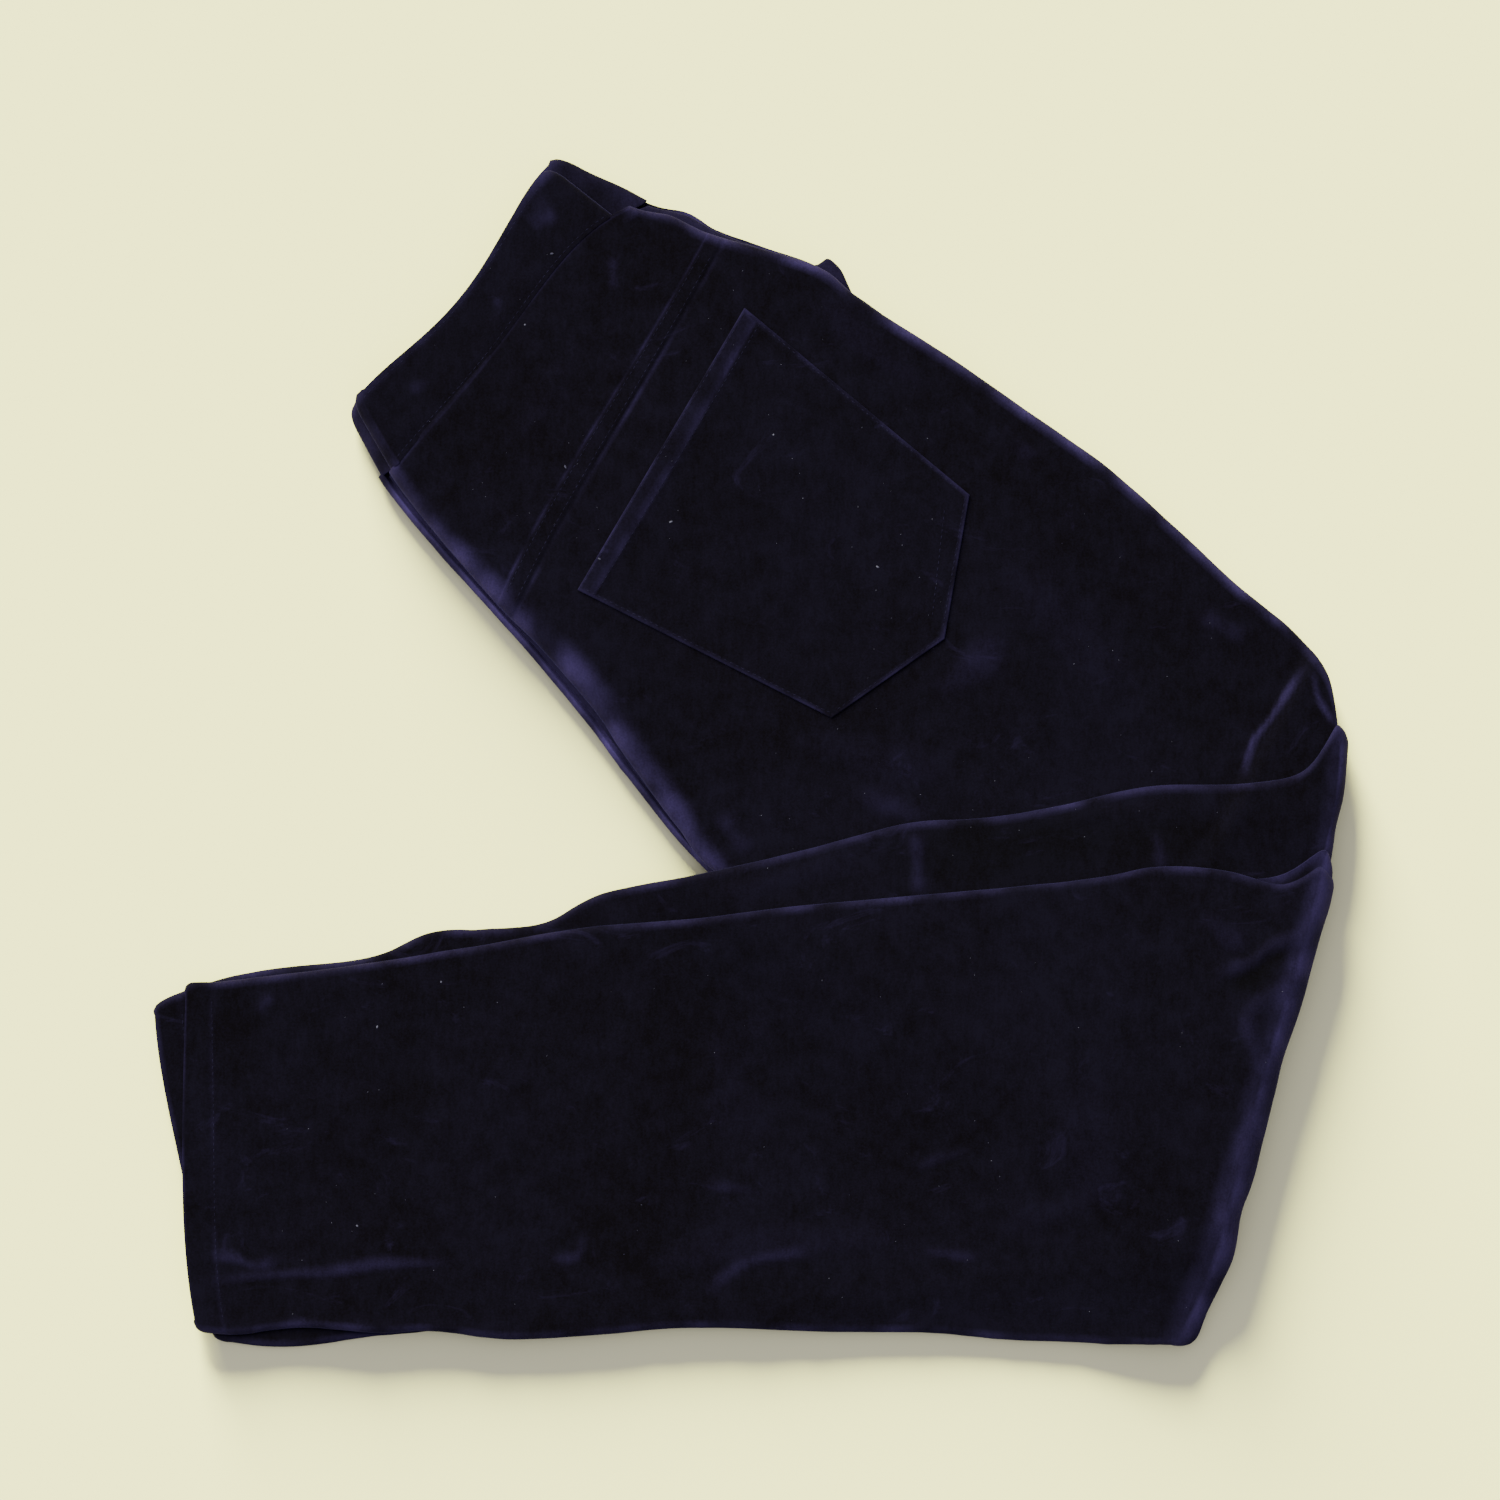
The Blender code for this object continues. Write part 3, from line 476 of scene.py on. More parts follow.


# Relief of a sheet: what creases and puckers add to its height, and the painted highlight and shade
# along the creases
def on_path(points, path, steps=8):
    """How far points lie from a smooth path, which side they are on, and how far along it."""
    knots = np.array(path, float)
    if len(knots) > 2:
        knots = lines(knots, np.linspace(0, len(knots) - 1, steps * (len(knots) - 1) + 1))
    a, b = knots[:-1], knots[1:]
    side = b - a
    lengths = np.linalg.norm(side, axis=1)
    starts = np.concatenate([[0], np.cumsum(lengths)[:-1]])
    p = points[:, None, :]
    t = np.clip(((p - a) * side).sum(2) / (lengths**2), 0, 1)
    away = p - (a + t[..., None] * side)
    distance = np.linalg.norm(away, axis=2)
    nearest = distance.argmin(1)
    pick = np.arange(len(points)), nearest
    turned = side[nearest, 0] * away[pick][:, 1] - side[nearest, 1] * away[pick][:, 0]
    along = (starts[nearest] + t[pick] * lengths[nearest]) / lengths.sum()
    return distance[pick], np.sign(turned), along


# What a crease's height, painted highlight and painted shade are multiplied by, and how far past
# its width it fades
CREASE_HEIGHT, CREASE_LIGHT, CREASE_SHADE, CREASE_SKIRT = 0.6, 0.27, 0.06, 1.15

# How uneven a crease is along its length, in what waves, and how far these are shifted from one
# crease to the next, how much wider it is on one side, and how long its ends are
CREASE_UNEVEN, CREASE_WAVE, CREASE_SHIFT = 0.2, 9, 2.1
CREASE_SIDES, CREASE_TAPER = (1.25, 0.8), 0.3


def relief(points, creases, strength=1.0):
    """The height in millimetres that the listed creases give, and their painted highlight and
    shade.
    """
    height, light = np.zeros(len(points)), np.zeros(len(points))
    for number, crease in enumerate(creases):
        distance, side, along = on_path(points, crease.path)
        uneven = 1 + CREASE_UNEVEN * np.sin(CREASE_WAVE * along + CREASE_SHIFT * number)
        reach = crease.width * uneven * np.where(side > 0, *CREASE_SIDES)
        bell = np.clip(1 - (distance / (CREASE_SKIRT * reach)) ** 2, 0, 1) ** 3
        taper = smooth(np.minimum(along, 1 - along) / CREASE_TAPER)
        height += strength * CREASE_HEIGHT * crease.height * bell * taper
        shade = CREASE_LIGHT if crease.light > 0 else CREASE_SHADE
        light += shade * crease.light * bell * taper * uneven
    return height, light


def ripple(points, size, seed):
    """Smooth noise from -1 to 1 over the plan, with bumps of this size in millimetres."""
    return np.array([noise.noise(Vector((x / size, y / size, seed))) for x, y in points])


def patchy(points, seed):
    """A random factor round about 1 that makes the painted sheen patchy from place to place."""
    return np.clip(PATCH_MEAN + PATCH_SPREAD * ripple(points, PATCH_SIZE, seed), *PATCH_LIMITS)


# A strip of cloth while it is being laid: its middle surface and its painted sheen, highlight and
# shade
Sheet = namedtuple("Sheet", "grid light")

# A seam or hem that runs across a sheet: its place along the rows, how far it reaches, the painted
# highlight along it and how deep its groove is
Seam = namedtuple("Seam", "place width light groove")

# The size of the puckers, the soft waves and the patches of painted sheen, how far in from an edge
# puckers reach, and how uneven the patches are
PUCKER_SIZE, PUCKER_REACH = 14.0, 8.0
WAVE_SIZE, PATCH_SIZE = 55.0, 16.0
PATCH_MEAN, PATCH_SPREAD, PATCH_LIMITS = 0.8, 1.5, (0.12, 1.8)

# How far an edge strays out from its line and how often for each row, how much painted sheen a
# sheet's turned edges get and how far in, and how far painted sheen reaches along the knee fold
WAVERS = ((0.8, 1.1), (0.45, 3.1))
TURNED_EDGE_SHEEN, TURNED_REACH = (0.35, 0.35), 1.3
FOLD_REACH = 0.6

# The rounded corners of a hem: how far they are cut back, and over how many rows
HEM_CORNER, HEM_ROUND = 3.5, 0.3


def hem_corner(place, last):
    """How far an edge keeps back near a hem, where the cloth's corner is rounded."""
    near = np.clip((place - last) / HEM_ROUND + 1, 0, 1)
    return HEM_CORNER * (1 - math.sqrt(1 - near**2))


def stray(edge, place, seed):
    """An edge that strays a little out from its line, as sewn cloth does."""
    out = 0
    for size, rate in WAVERS:
        out += size * (0.5 + 0.5 * noise.noise(Vector((rate * place, seed, size))))
    return edge._replace(inset=edge.inset - out)


def lay(
    table, places, layer, edges, sign=-1, creases=(), raised=None, seams=(), turned=TURNED_EDGE_SHEEN,
    fold=0.0, seed=1.0,
):
    """A sheet on the pile, one row of points for each place, with its creases and puckers.

    Sign is 1 for a sheet whose edges turn up. Raised gives how much doubled cloth adds at a place,
    turned and fold how much painted sheen goes on both edges and along the knee fold.
    """
    sizes = bpy.context.scene.trousers_sizes
    plans, drops, lift, near_edge, light_rows = [], [], [], [], []
    for line, place in zip(lines(table, places), places):
        inner, outer = edges(line, place)
        inner, outer = stray(inner, place, seed), stray(outer, place, seed + OUTER_SEED)
        if table in (LEFT_LEG, RIGHT_LEG):
            back = hem_corner(place, len(table) - 1)
            inner, outer = (each._replace(inset=each.inset + back) for each in (inner, outer))
        plan, drop = across(line, sizes.columns, inner, outer)
        plans.append(plan)
        drops.append(drop)
        ins = np.linalg.norm(plan - plan[0], axis=1)
        outs = np.linalg.norm(plan - plan[-1], axis=1)
        near_edge.append(np.minimum(ins, outs))
        # Painted sheen along the turned edges and the knee fold, and a painted highlight along the
        # seams
        bright = turned[0] * smooth(1 - ins / (TURNED_REACH * inner.roll))
        bright += turned[1] * smooth(1 - outs / (TURNED_REACH * outer.roll))
        bright += fold * smooth(1 - place / FOLD_REACH)
        height = raised(place) if raised else 0
        for seam in seams:
            close = smooth(1 - abs(place - seam.place) / seam.width)
            bright += seam.light * close
            height -= seam.groove * close
        light_rows.append(bright)
        lift.append(height)
    plans = np.array(plans)
    flat = plans.reshape(-1, 2)
    height, light = relief(flat, creases, sizes.crease)
    fine = ripple(flat, PUCKER_SIZE, seed) * np.exp(-np.ravel(near_edge) / PUCKER_REACH)
    height += sizes.pucker * fine + sizes.softness * ripple(flat, WAVE_SIZE, seed + WAVE_SEED)
    middle = base(layer, flat) + VELVET / 2 + sign * np.ravel(drops)
    middle += np.repeat(lift, plans.shape[1]) + (height if sign < 0 else 0)
    middle = np.maximum(middle, VELVET / 2 + OFF_FLOOR)
    grid = np.dstack([plans, middle.reshape(plans.shape[:2])])
    light += np.ravel(light_rows) * patchy(flat, seed + NAP_SEED)
    return Sheet(grid, light.reshape(plans.shape[:2]))


# The knee fold: how much painted sheen it gets, how far in its ends are rounded and what reach is
# left at the very end, and how much and how often its reach is uneven
BEND_LIGHT, BEND_CORNER, BEND_LEAST = 0.32, 9.0, 0.02
BEND_STRAY, BEND_WAVE = 2.2, 24.0


def bend(upper, lower, line, reach):
    """Rows of points round a fold, from the last row above it to the first row past it."""
    along = (line[2:4] - line[:2]) / width(line)
    out = np.array([along[1], -along[0], 0])
    middle, half = (upper + lower) / 2, (upper - lower) / 2
    ends = (np.linalg.norm((upper - upper[end])[:, :2], axis=1) for end in (0, -1))
    from_end = np.clip(np.minimum(*ends) / BEND_CORNER, BEND_LEAST, 1)
    round_off = np.sqrt(1 - (1 - from_end) ** 2)[:, None]
    turns = [math.radians(a) for a in BEND_ANGLES]
    waves = ripple(middle[:, :2], BEND_WAVE, reach)[:, None]
    uneven = round_off * (reach + BEND_STRAY * waves)
    return np.array([middle + half * math.cos(a) + out * uneven * math.sin(a) for a in turns])


def around_knee(upper, lower, table, reach):
    """One sheet from its upper rows, round the fold, to its lower rows."""
    line = lines(table, [len(table) - 1])[0]
    turned = bend(upper.grid[-1], lower.grid[0], line, reach)
    light = np.linspace(upper.light[-1], lower.light[0], len(turned) + 2)[1:-1]
    # Painted sheen round the knee fold, in patches
    light += BEND_LIGHT * patchy(turned[..., :2].reshape(-1, 2), reach).reshape(light.shape)
    return Sheet(
        np.concatenate([upper.grid, turned, lower.grid]),
        np.concatenate([upper.light, light, lower.light]),
    )


def hidden_start(table, layer, edge):
    """The row of points where a hidden front comes out of the pile at the knee fold."""
    line = lines(table, [len(table) - 1])[0]
    plan, drops = across(line, bpy.context.scene.trousers_sizes.columns, edge, edge)
    height = base(layer, plan) + front_height(plan) / 2 + drops
    return Sheet(np.column_stack([plan, height])[None], np.zeros((1, len(plan))))


def new_object(name, bm, materials):
    """A piece at the origin, made of a finished bmesh, that rides on the frame."""
    mesh = bpy.data.meshes.new(name)
    bm.to_mesh(mesh)
    bm.free()
    piece = bpy.data.objects.new(name, mesh)
    bpy.context.scene.collection.objects.link(piece)
    for material in materials:
        mesh.materials.append(material)
    mesh.shade_smooth()
    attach(piece, "root")
    return piece


# How far the rims of the velvet and of the band are rounded, in millimetres, in how many steps
# and at edges of how many degrees, and how much painted light lifts the shaded hidden fronts
RIM, BAND_RIM, RIM_STEPS, RIM_ANGLE = 0.45, 1.0, 2, 60
HIDDEN_LIGHT = 0.3


def cloth(name, sheet, material, wall=VELVET, rim=RIM, close=False):
    """A shell of cloth whose middle surface goes through a sheet's points, row by row."""
    rows, count = sheet.grid.shape[:2]
    bm = bmesh.new()
    bmesh.ops.create_grid(bm, x_segments=count - 1, y_segments=rows - 1, size=1)
    light = bm.verts.layers.float.new("light")
    for vertex in bm.verts:
        i = round((vertex.co.y + 1) / 2 * (rows - 1))
        j = round((vertex.co.x + 1) / 2 * (count - 1))
        vertex.co = sheet.grid[i, j] * MM
        vertex[light] = sheet.light[i, j]
    if close:
        bmesh.ops.remove_doubles(bm, verts=bm.verts, dist=1e-6)
        bmesh.ops.recalc_face_normals(bm, faces=bm.faces)
    piece = new_object(name, bm, [material])
    wall_maker = piece.modifiers.new("Wall", "SOLIDIFY")
    wall_maker.thickness = wall * MM
    wall_maker.offset = 0
    rounding = piece.modifiers.new("Rim", "BEVEL")
    rounding.width = rim * MM
    rounding.segments = RIM_STEPS
    rounding.limit_method = "ANGLE"
    rounding.angle_limit = math.radians(RIM_ANGLE)
    return piece


def ring_solid(name, rings, material):
    """A closed solid through rings of points, one ring for each row."""
    rows, count = rings.shape[:2]
    bm = bmesh.new()
    bmesh.ops.create_cone(
        bm, cap_ends=True, cap_tris=False, segments=count, radius1=1, radius2=1, depth=2
    )
    light = bm.verts.layers.float.new("light")
    sides = [e for e in bm.edges if abs(e.verts[0].co.z - e.verts[1].co.z) > 1]
    bmesh.ops.subdivide_edges(bm, edges=sides, cuts=rows - 2)
    step = 2 * math.pi / count
    for vertex in bm.verts:
        j = round((math.atan2(vertex.co.y, vertex.co.x) - math.pi / 2) / step) % count
        i = round((vertex.co.z + 1) / 2 * (rows - 1))
        vertex.co = rings[i, j] * MM
        # Painted light all over, which lifts the hidden fronts out of their shade
        vertex[light] = HIDDEN_LIGHT
    if bm.calc_volume(signed=True) < 0:
        bmesh.ops.reverse_faces(bm, faces=bm.faces)
    piece = new_object(name, bm, [material])
    return piece


# Velvet's nap: the scale of each noise, how much of it goes into the nap, its detail, roughness,
# stretch and distortion
Nap = namedtuple("Nap", "scale share detail roughness stretch distortion", defaults=[None, 0.0])
NAPS = {
    "Broad": Nap(9, 0.24, 3, 0.55),
    "Blotch": Nap(85, 0.3, 5, 0.6),
    "Streak": Nap(380, 0.2, 4, 0.65, (1, 0.35, 1)),
    "Pile": Nap(1000, 0.26, 2, 0.6),
    "Scuff": Nap(20, 0, 8, 0.72, (1, 1.6, 1), 1.6),
}

# Where scuffs begin in their noise and how fast they come, and the pile's share of the bumps
SCUFF_START, SCUFF_RISE, PILE_BUMP = 0.6, 5.0, 0.35

# How light the nap is where it is scuffed, what span of the nap goes from dark to light, and how
# that span varies the painted sheen, from which value to which
SCUFF_LIGHT = 0.28
NAP_SPAN = (0.4, 0.59)
PAINTED_SHEEN_SPAN, PAINTED_SHEEN_RANGE = (0.35, 0.65), (0.45, 1.4)
BUMP_STRENGTH, BUMP_DEPTH = 0.35, 0.0006
VELVET_FINISH = {
    "Roughness": 0.95, "Specular IOR Level": 0.02, "Sheen Weight": 0.06, "Sheen Roughness": 0.4,
    "Sheen Tint": (0.50, 0.42, 1.0, 1),
}


def add_node(tree, kind, inputs, **settings):
    """A node with its settings, its inputs given as values or as sockets to link."""
    node = tree.nodes.new(kind)
    for name, value in settings.items():
        setattr(node, name, value)
    for name, value in inputs.items():
        if isinstance(value, bpy.types.NodeSocket):
            tree.links.new(value, node.inputs[name])
        else:
            node.inputs[name].default_value = value
    return node


def add_math(tree, operation, *inputs):
    """What a sum of two or three values or sockets puts out."""
    return add_node(tree, "ShaderNodeMath", dict(enumerate(inputs)), operation=operation).outputs[0]


def nap_group():
    """A node group for velvet: blotches of nap, fine pile, and the bumps that they make."""
    if "velvet nap" in bpy.data.node_groups:
        return bpy.data.node_groups["velvet nap"]
    group = bpy.data.node_groups.new("velvet nap", "ShaderNodeTree")
    for name, nap in NAPS.items():
        socket = group.interface.new_socket(name, in_out="INPUT", socket_type="NodeSocketFloat")
        socket.default_value = nap.scale
    for name in ("Nap", "Scuffs", "Height"):
        group.interface.new_socket(name, in_out="OUTPUT", socket_type="NodeSocketFloat")
    inputs, outputs = group.nodes.new("NodeGroupInput"), group.nodes.new("NodeGroupOutput")
    where = group.nodes.new("ShaderNodeTexCoord").outputs["Object"]
    found, shares = {}, []
    for name, nap in NAPS.items():
        source = where
        if nap.stretch:
            stretch = {"Vector": where, "Scale": nap.stretch}
            source = add_node(group, "ShaderNodeMapping", stretch).outputs["Vector"]
        found[name] = add_node(group, "ShaderNodeTexNoise", {
            "Vector": source, "Scale": inputs.outputs[name], "Detail": nap.detail,
            "Roughness": nap.roughness, "Distortion": nap.distortion,
        }).outputs["Fac"]
        if nap.share:
            shares.append(add_math(group, "MULTIPLY", found[name], nap.share))
    wide = add_math(group, "ADD", shares[0], shares[1])
    fine = add_math(group, "ADD", shares[2], shares[3])
    past = add_math(group, "SUBTRACT", found["Scuff"], SCUFF_START)
    scuffs = add_math(group, "MAXIMUM", add_math(group, "MULTIPLY", past, SCUFF_RISE), 0.0)
    height = add_math(
        group, "ADD", add_math(group, "MULTIPLY", found["Pile"], PILE_BUMP), found["Streak"]
    )
    results = {"Nap": add_math(group, "ADD", wide, fine), "Scuffs": scuffs, "Height": height}
    for name, value in results.items():
        group.links.new(value, outputs.inputs[name])
    return group


def velvet_material(name, dark, mid, sheen):
    """Velvet: nearly black where the pile stands, violet where it is scuffed and where painted
    sheen lies, along turned edges, folds, seams and creases.
    """
    if name in bpy.data.materials:
        return bpy.data.materials[name]
    material = bpy.data.materials.new(name)
    material.use_nodes = True
    tree = material.node_tree
    nap = add_node(tree, "ShaderNodeGroup", {}, node_tree=nap_group()).outputs
    light = add_node(tree, "ShaderNodeAttribute", {}, attribute_name="light").outputs["Fac"]
    spread = add_node(tree, "ShaderNodeMapRange", {
        "Value": nap["Nap"], "From Min": NAP_SPAN[0], "From Max": NAP_SPAN[1],
    })
    varied = add_node(tree, "ShaderNodeMapRange", {
        "Value": nap["Nap"], "From Min": PAINTED_SHEEN_SPAN[0], "From Max": PAINTED_SHEEN_SPAN[1],
        "To Min": PAINTED_SHEEN_RANGE[0], "To Max": PAINTED_SHEEN_RANGE[1],
    })
    ground = add_node(tree, "ShaderNodeMix", {}, data_type="RGBA")
    ground.inputs["A"].default_value = (*dark, 1)
    ground.inputs["B"].default_value = (*mid, 1)
    tree.links.new(spread.outputs["Result"], ground.inputs["Factor"])
    # Painted sheen, highlight and shade from the cloth's light attribute, made patchy by the nap
    # noise
    patchy_light = add_math(tree, "MULTIPLY", light, varied.outputs["Result"])
    scuffs_and_painted_sheen = add_math(tree, "MULTIPLY_ADD", nap["Scuffs"], SCUFF_LIGHT, patchy_light)
    # Mixes towards the sheen colour where the nap is scuffed and where painted sheen lies
    brushed = add_node(tree, "ShaderNodeMix", {}, data_type="RGBA", clamp_factor=False)
    brushed.inputs["B"].default_value = (*sheen, 1)
    tree.links.new(scuffs_and_painted_sheen, brushed.inputs["Factor"])
    tree.links.new(ground.outputs["Result"], brushed.inputs["A"])
    bump = add_node(tree, "ShaderNodeBump", {
        "Strength": BUMP_STRENGTH, "Distance": BUMP_DEPTH, "Height": nap["Height"],
    })
    shader = tree.nodes["Principled BSDF"]
    tree.links.new(brushed.outputs["Result"], shader.inputs["Base Color"])
    tree.links.new(bump.outputs["Normal"], shader.inputs["Normal"])
    for name, value in VELVET_FINISH.items():
        shader.inputs[name].default_value = value
    return material


def velvet():
    """The velvet's right side."""
    colours = bpy.context.scene.trousers_colours
    return velvet_material("navy_velvet", colours.dark, colours.nap, colours.sheen)


def velvet_inside():
    """The hidden layers of the velvet."""
    colours = bpy.context.scene.trousers_colours
    return velvet_material("navy_velvet_inside", colours.inside, colours.nap, colours.sheen)


# How far a sheet goes on under the one that it is sewn to, in rows, how high doubled cloth stands
# at the felled seams and the hems, in millimetres, and their places
UNDER_SEAM = 0.04
FELL_RISE, HEM_RISE = 0.16, 0.15
FELL_PLACES = (YOKE_ROW + 0.27, YOKE_ROW + 0.33)
LEFT_HEM_PLACES = (LEFT_END - 0.36, LEFT_END - 0.30)
RIGHT_HEM_PLACES = (RIGHT_END - 0.72, RIGHT_END - 0.62)

# How much painted sheen goes on the turned edges of each half's yoke and back, at the centre back
# and at the side seam, and along the knee fold
LEFT_YOKE_EDGE_SHEEN, LEFT_BACK_EDGE_SHEEN, RIGHT_EDGE_SHEEN = (0.78, 0.7), (0.82, 0.8), (1.2, 0.6)
LEFT_FOLD_SHEEN, RIGHT_FOLD_SHEEN = 0.2, 0.3

# The seams that show across each half's yoke and back, each with a painted highlight along it
YOKE_SEAMS = Seam(BAND_ROW, 0.05, 0.16, 0), Seam(YOKE_ROW, 0.045, 0.2, 0.1)
BACK_SEAMS = Seam(YOKE_ROW, 0.045, 0.25, 0), Seam(FELL_PLACES[1], 0.05, 0.2, 0)

# Faces for each row where a sheet is nearly all hidden
TUCKED_ROWS, UNDER_ROWS = 4, 6


class TrousersSizes(bpy.types.PropertyGroup):
    """Sizes that a user would change."""
    crease: FloatProperty(
        name="Creases", description="How strongly the hand-laid creases stand out", default=1.0,
        min=0, max=2, subtype="FACTOR",
    )
    pucker: FloatProperty(
        name="Puckers", description="Height of the puckers along the seams, in millimetres",
        default=0.35, min=0, max=1,
    )
    softness: FloatProperty(
        name="Softness", description="Height of the cloth's soft waves, in millimetres",
        default=0.5, min=0, max=2,
    )
    columns: IntProperty(
        name="Columns", description="Faces across a leg", default=116, min=11, max=120,
    )
    per_row: IntProperty(
        name="Rows", description="Faces along the cloth for each row of the tables", default=18,
        min=2, max=24,
    )


def colour(name, description, default):
    """A colour that a user would change."""
    return FloatVectorProperty(
        name=name, description=description, default=default, subtype="COLOR", size=3, min=0, max=1
    )


class TrousersColours(bpy.types.PropertyGroup):
    """Colours of the velvet and its small parts."""
    dark: colour("Pile", "Velvet seen into the pile", (0.0016, 0.0012, 0.0013))
    nap: colour("Nap", "Velvet with its nap a little turned", (0.0033, 0.0027, 0.0048))
    # The colour that scuffs and the painted sheen mix towards
    sheen: colour("Sheen", "Velvet with its nap brushed over", (0.0185, 0.0130, 0.037))
    inside: colour("Inside", "The hidden layers of the cloth", (0.0013, 0.0010, 0.0012))
    thread: colour("Thread", "The sewing thread", (0.0105, 0.009, 0.018))
    lint: colour("Lint", "Bits of lint on the nap", (0.09, 0.09, 0.095))
    floor: colour("Floor", "The pale surface under the trousers", (0.93, 0.93, 0.38))


def per_row():
    """Faces along the cloth for each row of the tables."""
    return bpy.context.scene.trousers_sizes.per_row


# The hidden fronts. A corner of their section is so far in from the line's end and so far up the
# front's own thickness, and takes so much of the pocket mouth's corner.
Corner = namedtuple("Corner", "inside share mouth", defaults=[0])
LOWER_AT_SIDE = [Corner(2.6, 0.05), Corner(0.6, 0.35, 1), Corner(0.6, 0.7, 1), Corner(3, 1)]
UPPER_AT_SIDE = [
    Corner(0.9, 0.15), Corner(0.3, 0.4), Corner(2.4, 0.55), Corner(2.4, 0.775), Corner(3.1, 0.94)
]
UPPER_AT_GROOVE = Corner(5, 0)
LOWER_AT_BACK = [Corner(6.5, 1), Corner(4.5, 0.7), Corner(4.2, 0.5), Corner(4.8, 0.2)]
GROOVE_AT_SIDE = 6.0
FLAT_STEPS = 18

# The rows that keep the solid's end and the pocket mouth's corner crisp
NEAR_BAND = (BAND_ROW + 0.05, BAND_ROW + 0.15)
NEAR_MOUTH = (4.98, 5.2, 5.35, 5.75)

# The flat runs stop short of the corners, and the turned edge stays inside the back's wall
SHORT_AT_BACK, SHORT_AT_SIDE, SHORT_ON_TOP = 1.2, 1.9, 0.5
UNDER_WALL = 2.1
LOWEST_SHARE = 0.1


def end_shift(ring, neighbour, distance):
    """How an end ring is moved along the solid, away from the piece that it faces."""
    step = neighbour - ring
    step[:, 2] = 0
    return step / np.linalg.norm(step, axis=1)[:, None] * distance


def fronts_section(place):
    """One section of the hidden fronts: the right front below, the left front on it."""
    left, right = lines(LEFT_HALF, [place])[0], lines(RIGHT_HALF, [place])[0]
    upper_width, lower_width = width(left), width(right)

    def lower(distance, share):
        spot = on_line(right, distance)[0]
        return (*spot, VELVET + LOOSE + share * front_at(spot))

    def upper(distance, share):
        spot = on_line(left, distance)[0]
        return (*spot, float(base(UNDER_FRONT_LEFT, spot)[0]) + share * front_at(spot))

    ring = []
    first = LOWER_AT_BACK[-1].inside + SHORT_AT_BACK
    last = lower_width - LOWER_AT_SIDE[0].inside - SHORT_AT_SIDE
    for f in np.linspace(0, 1, FLAT_STEPS):
        ring.append(lower(first + (last - first) * f, 0))
    mouth = MOUTH_CORNER * np.interp(place, MOUTH_ROWS, MOUTH_SHARES)
    for corner in LOWER_AT_SIDE:
        ring.append(lower(lower_width - corner.inside + mouth * corner.mouth, corner.share))
    groove = on_line(right, lower_width - LOWER_AT_SIDE[-1].inside)[0]
    under = on_line(left, upper_width - GROOVE_AT_SIDE)[0]
    for f in (1 / 3, 2 / 3, 1):
        spot = groove + (under - groove) * f
        ring.append((*spot, float(base(UNDER_FRONT_LEFT, spot)[0])))
    for corner in UPPER_AT_SIDE:
        ring.append(upper(upper_width - corner.inside, corner.share))
    inner = left_edges(left, place)[0]
    start, end = inner.inset + inner.roll, upper_width - SIDE_ROLL - SHORT_ON_TOP
    for f in np.linspace(1, 0, FLAT_STEPS):
        ring.append(upper(start + (end - start) * f, 1))
    for angle in (30, 60, 90):
        turn = math.radians(angle)
        share = LOWEST_SHARE + (1 - LOWEST_SHARE) * math.cos(turn)
        ring.append(upper(start - (start - UNDER_WALL) * math.sin(turn), share))
    ring.append(upper(UPPER_AT_GROOVE.inside, UPPER_AT_GROOVE.share))
    for corner in LOWER_AT_BACK:
        ring.append(lower(corner.inside, corner.share))
    return ring


# The band's folds: where the folded fronts turn, the steps of each turn and of each flat run, the
# rows of its depth, the groove in its fold at the centre back, and from where in a fold and over
# how much of it the path goes from one half's plan to the other's
CENTRE_FRONT = 7.2
SMALL_TURN, LARGE_TURN = 8, 24
STRIP_STEPS, BAND_ROWS = 90, 26
BACK_GROOVE, GROOVE_SHARE = 2.6, 0.22
CROSSING = (0.35, 0.3)

# How far the band's corners are cut back, over what share of its depth, how far it comes down to
# the yoke and from which depth, how much fuller its right half is at the side, from which depth
# and over how much of it, and how much shorter its left half
BAND_CORNER, BAND_ROUND = 3.5, 0.25
BAND_ABOVE, BAND_LEVEL, BAND_WAVE = 0.55, 0.75, 0.4
BAND_FULLER, BAND_FULL, BAND_SHORT = 1.8, (0.3, 0.5), 9.0

# Its painted sheen: at its upper edge and over what share of its depth, on the right half,
# and at the centre back fold
BAND_EDGE, BAND_EDGE_LIGHT, RIGHT_BAND_LIGHT, BAND_BACK_LIGHT = 0.14, 0.3, 0.18, 0.35
BAND_SEED, BAND_NAP_SEED, POCKET_NAP_SEED = 8, 12, 15

# A place on the band's path: what it is measured from, how far (a share of a strip's length),
# what is added, its height, and its share of the left half's plan (0 is the right half's)
Place = namedtuple("Place", "kind value reach height share")


def strip(start, height, share, backwards):
    """A flat run of the band between two folds."""
    places = [Place("strip", f, start, height, share) for f in np.linspace(0, 1, STRIP_STEPS)]
    return places[::-1] if backwards else places


def fold_over(kind, centre, radius, height, shares, steps, downwards, groove=0.0):
    """A half turn of the band, from one strip to the next, with a groove half way if given."""
    places = []
    for k in range(1, steps):
        turn = math.pi * k / steps
        rise = radius * math.cos(turn) * (1 if downwards else -1)
        share = shares[0] + (shares[1] - shares[0]) * change(k / steps, CROSSING)
        reach = radius * math.sin(turn) - groove * smooth(1 - abs(k / steps - 0.5) / GROOVE_SHARE)
        places.append(Place(kind, centre, reach, height + rise, share))
    return places


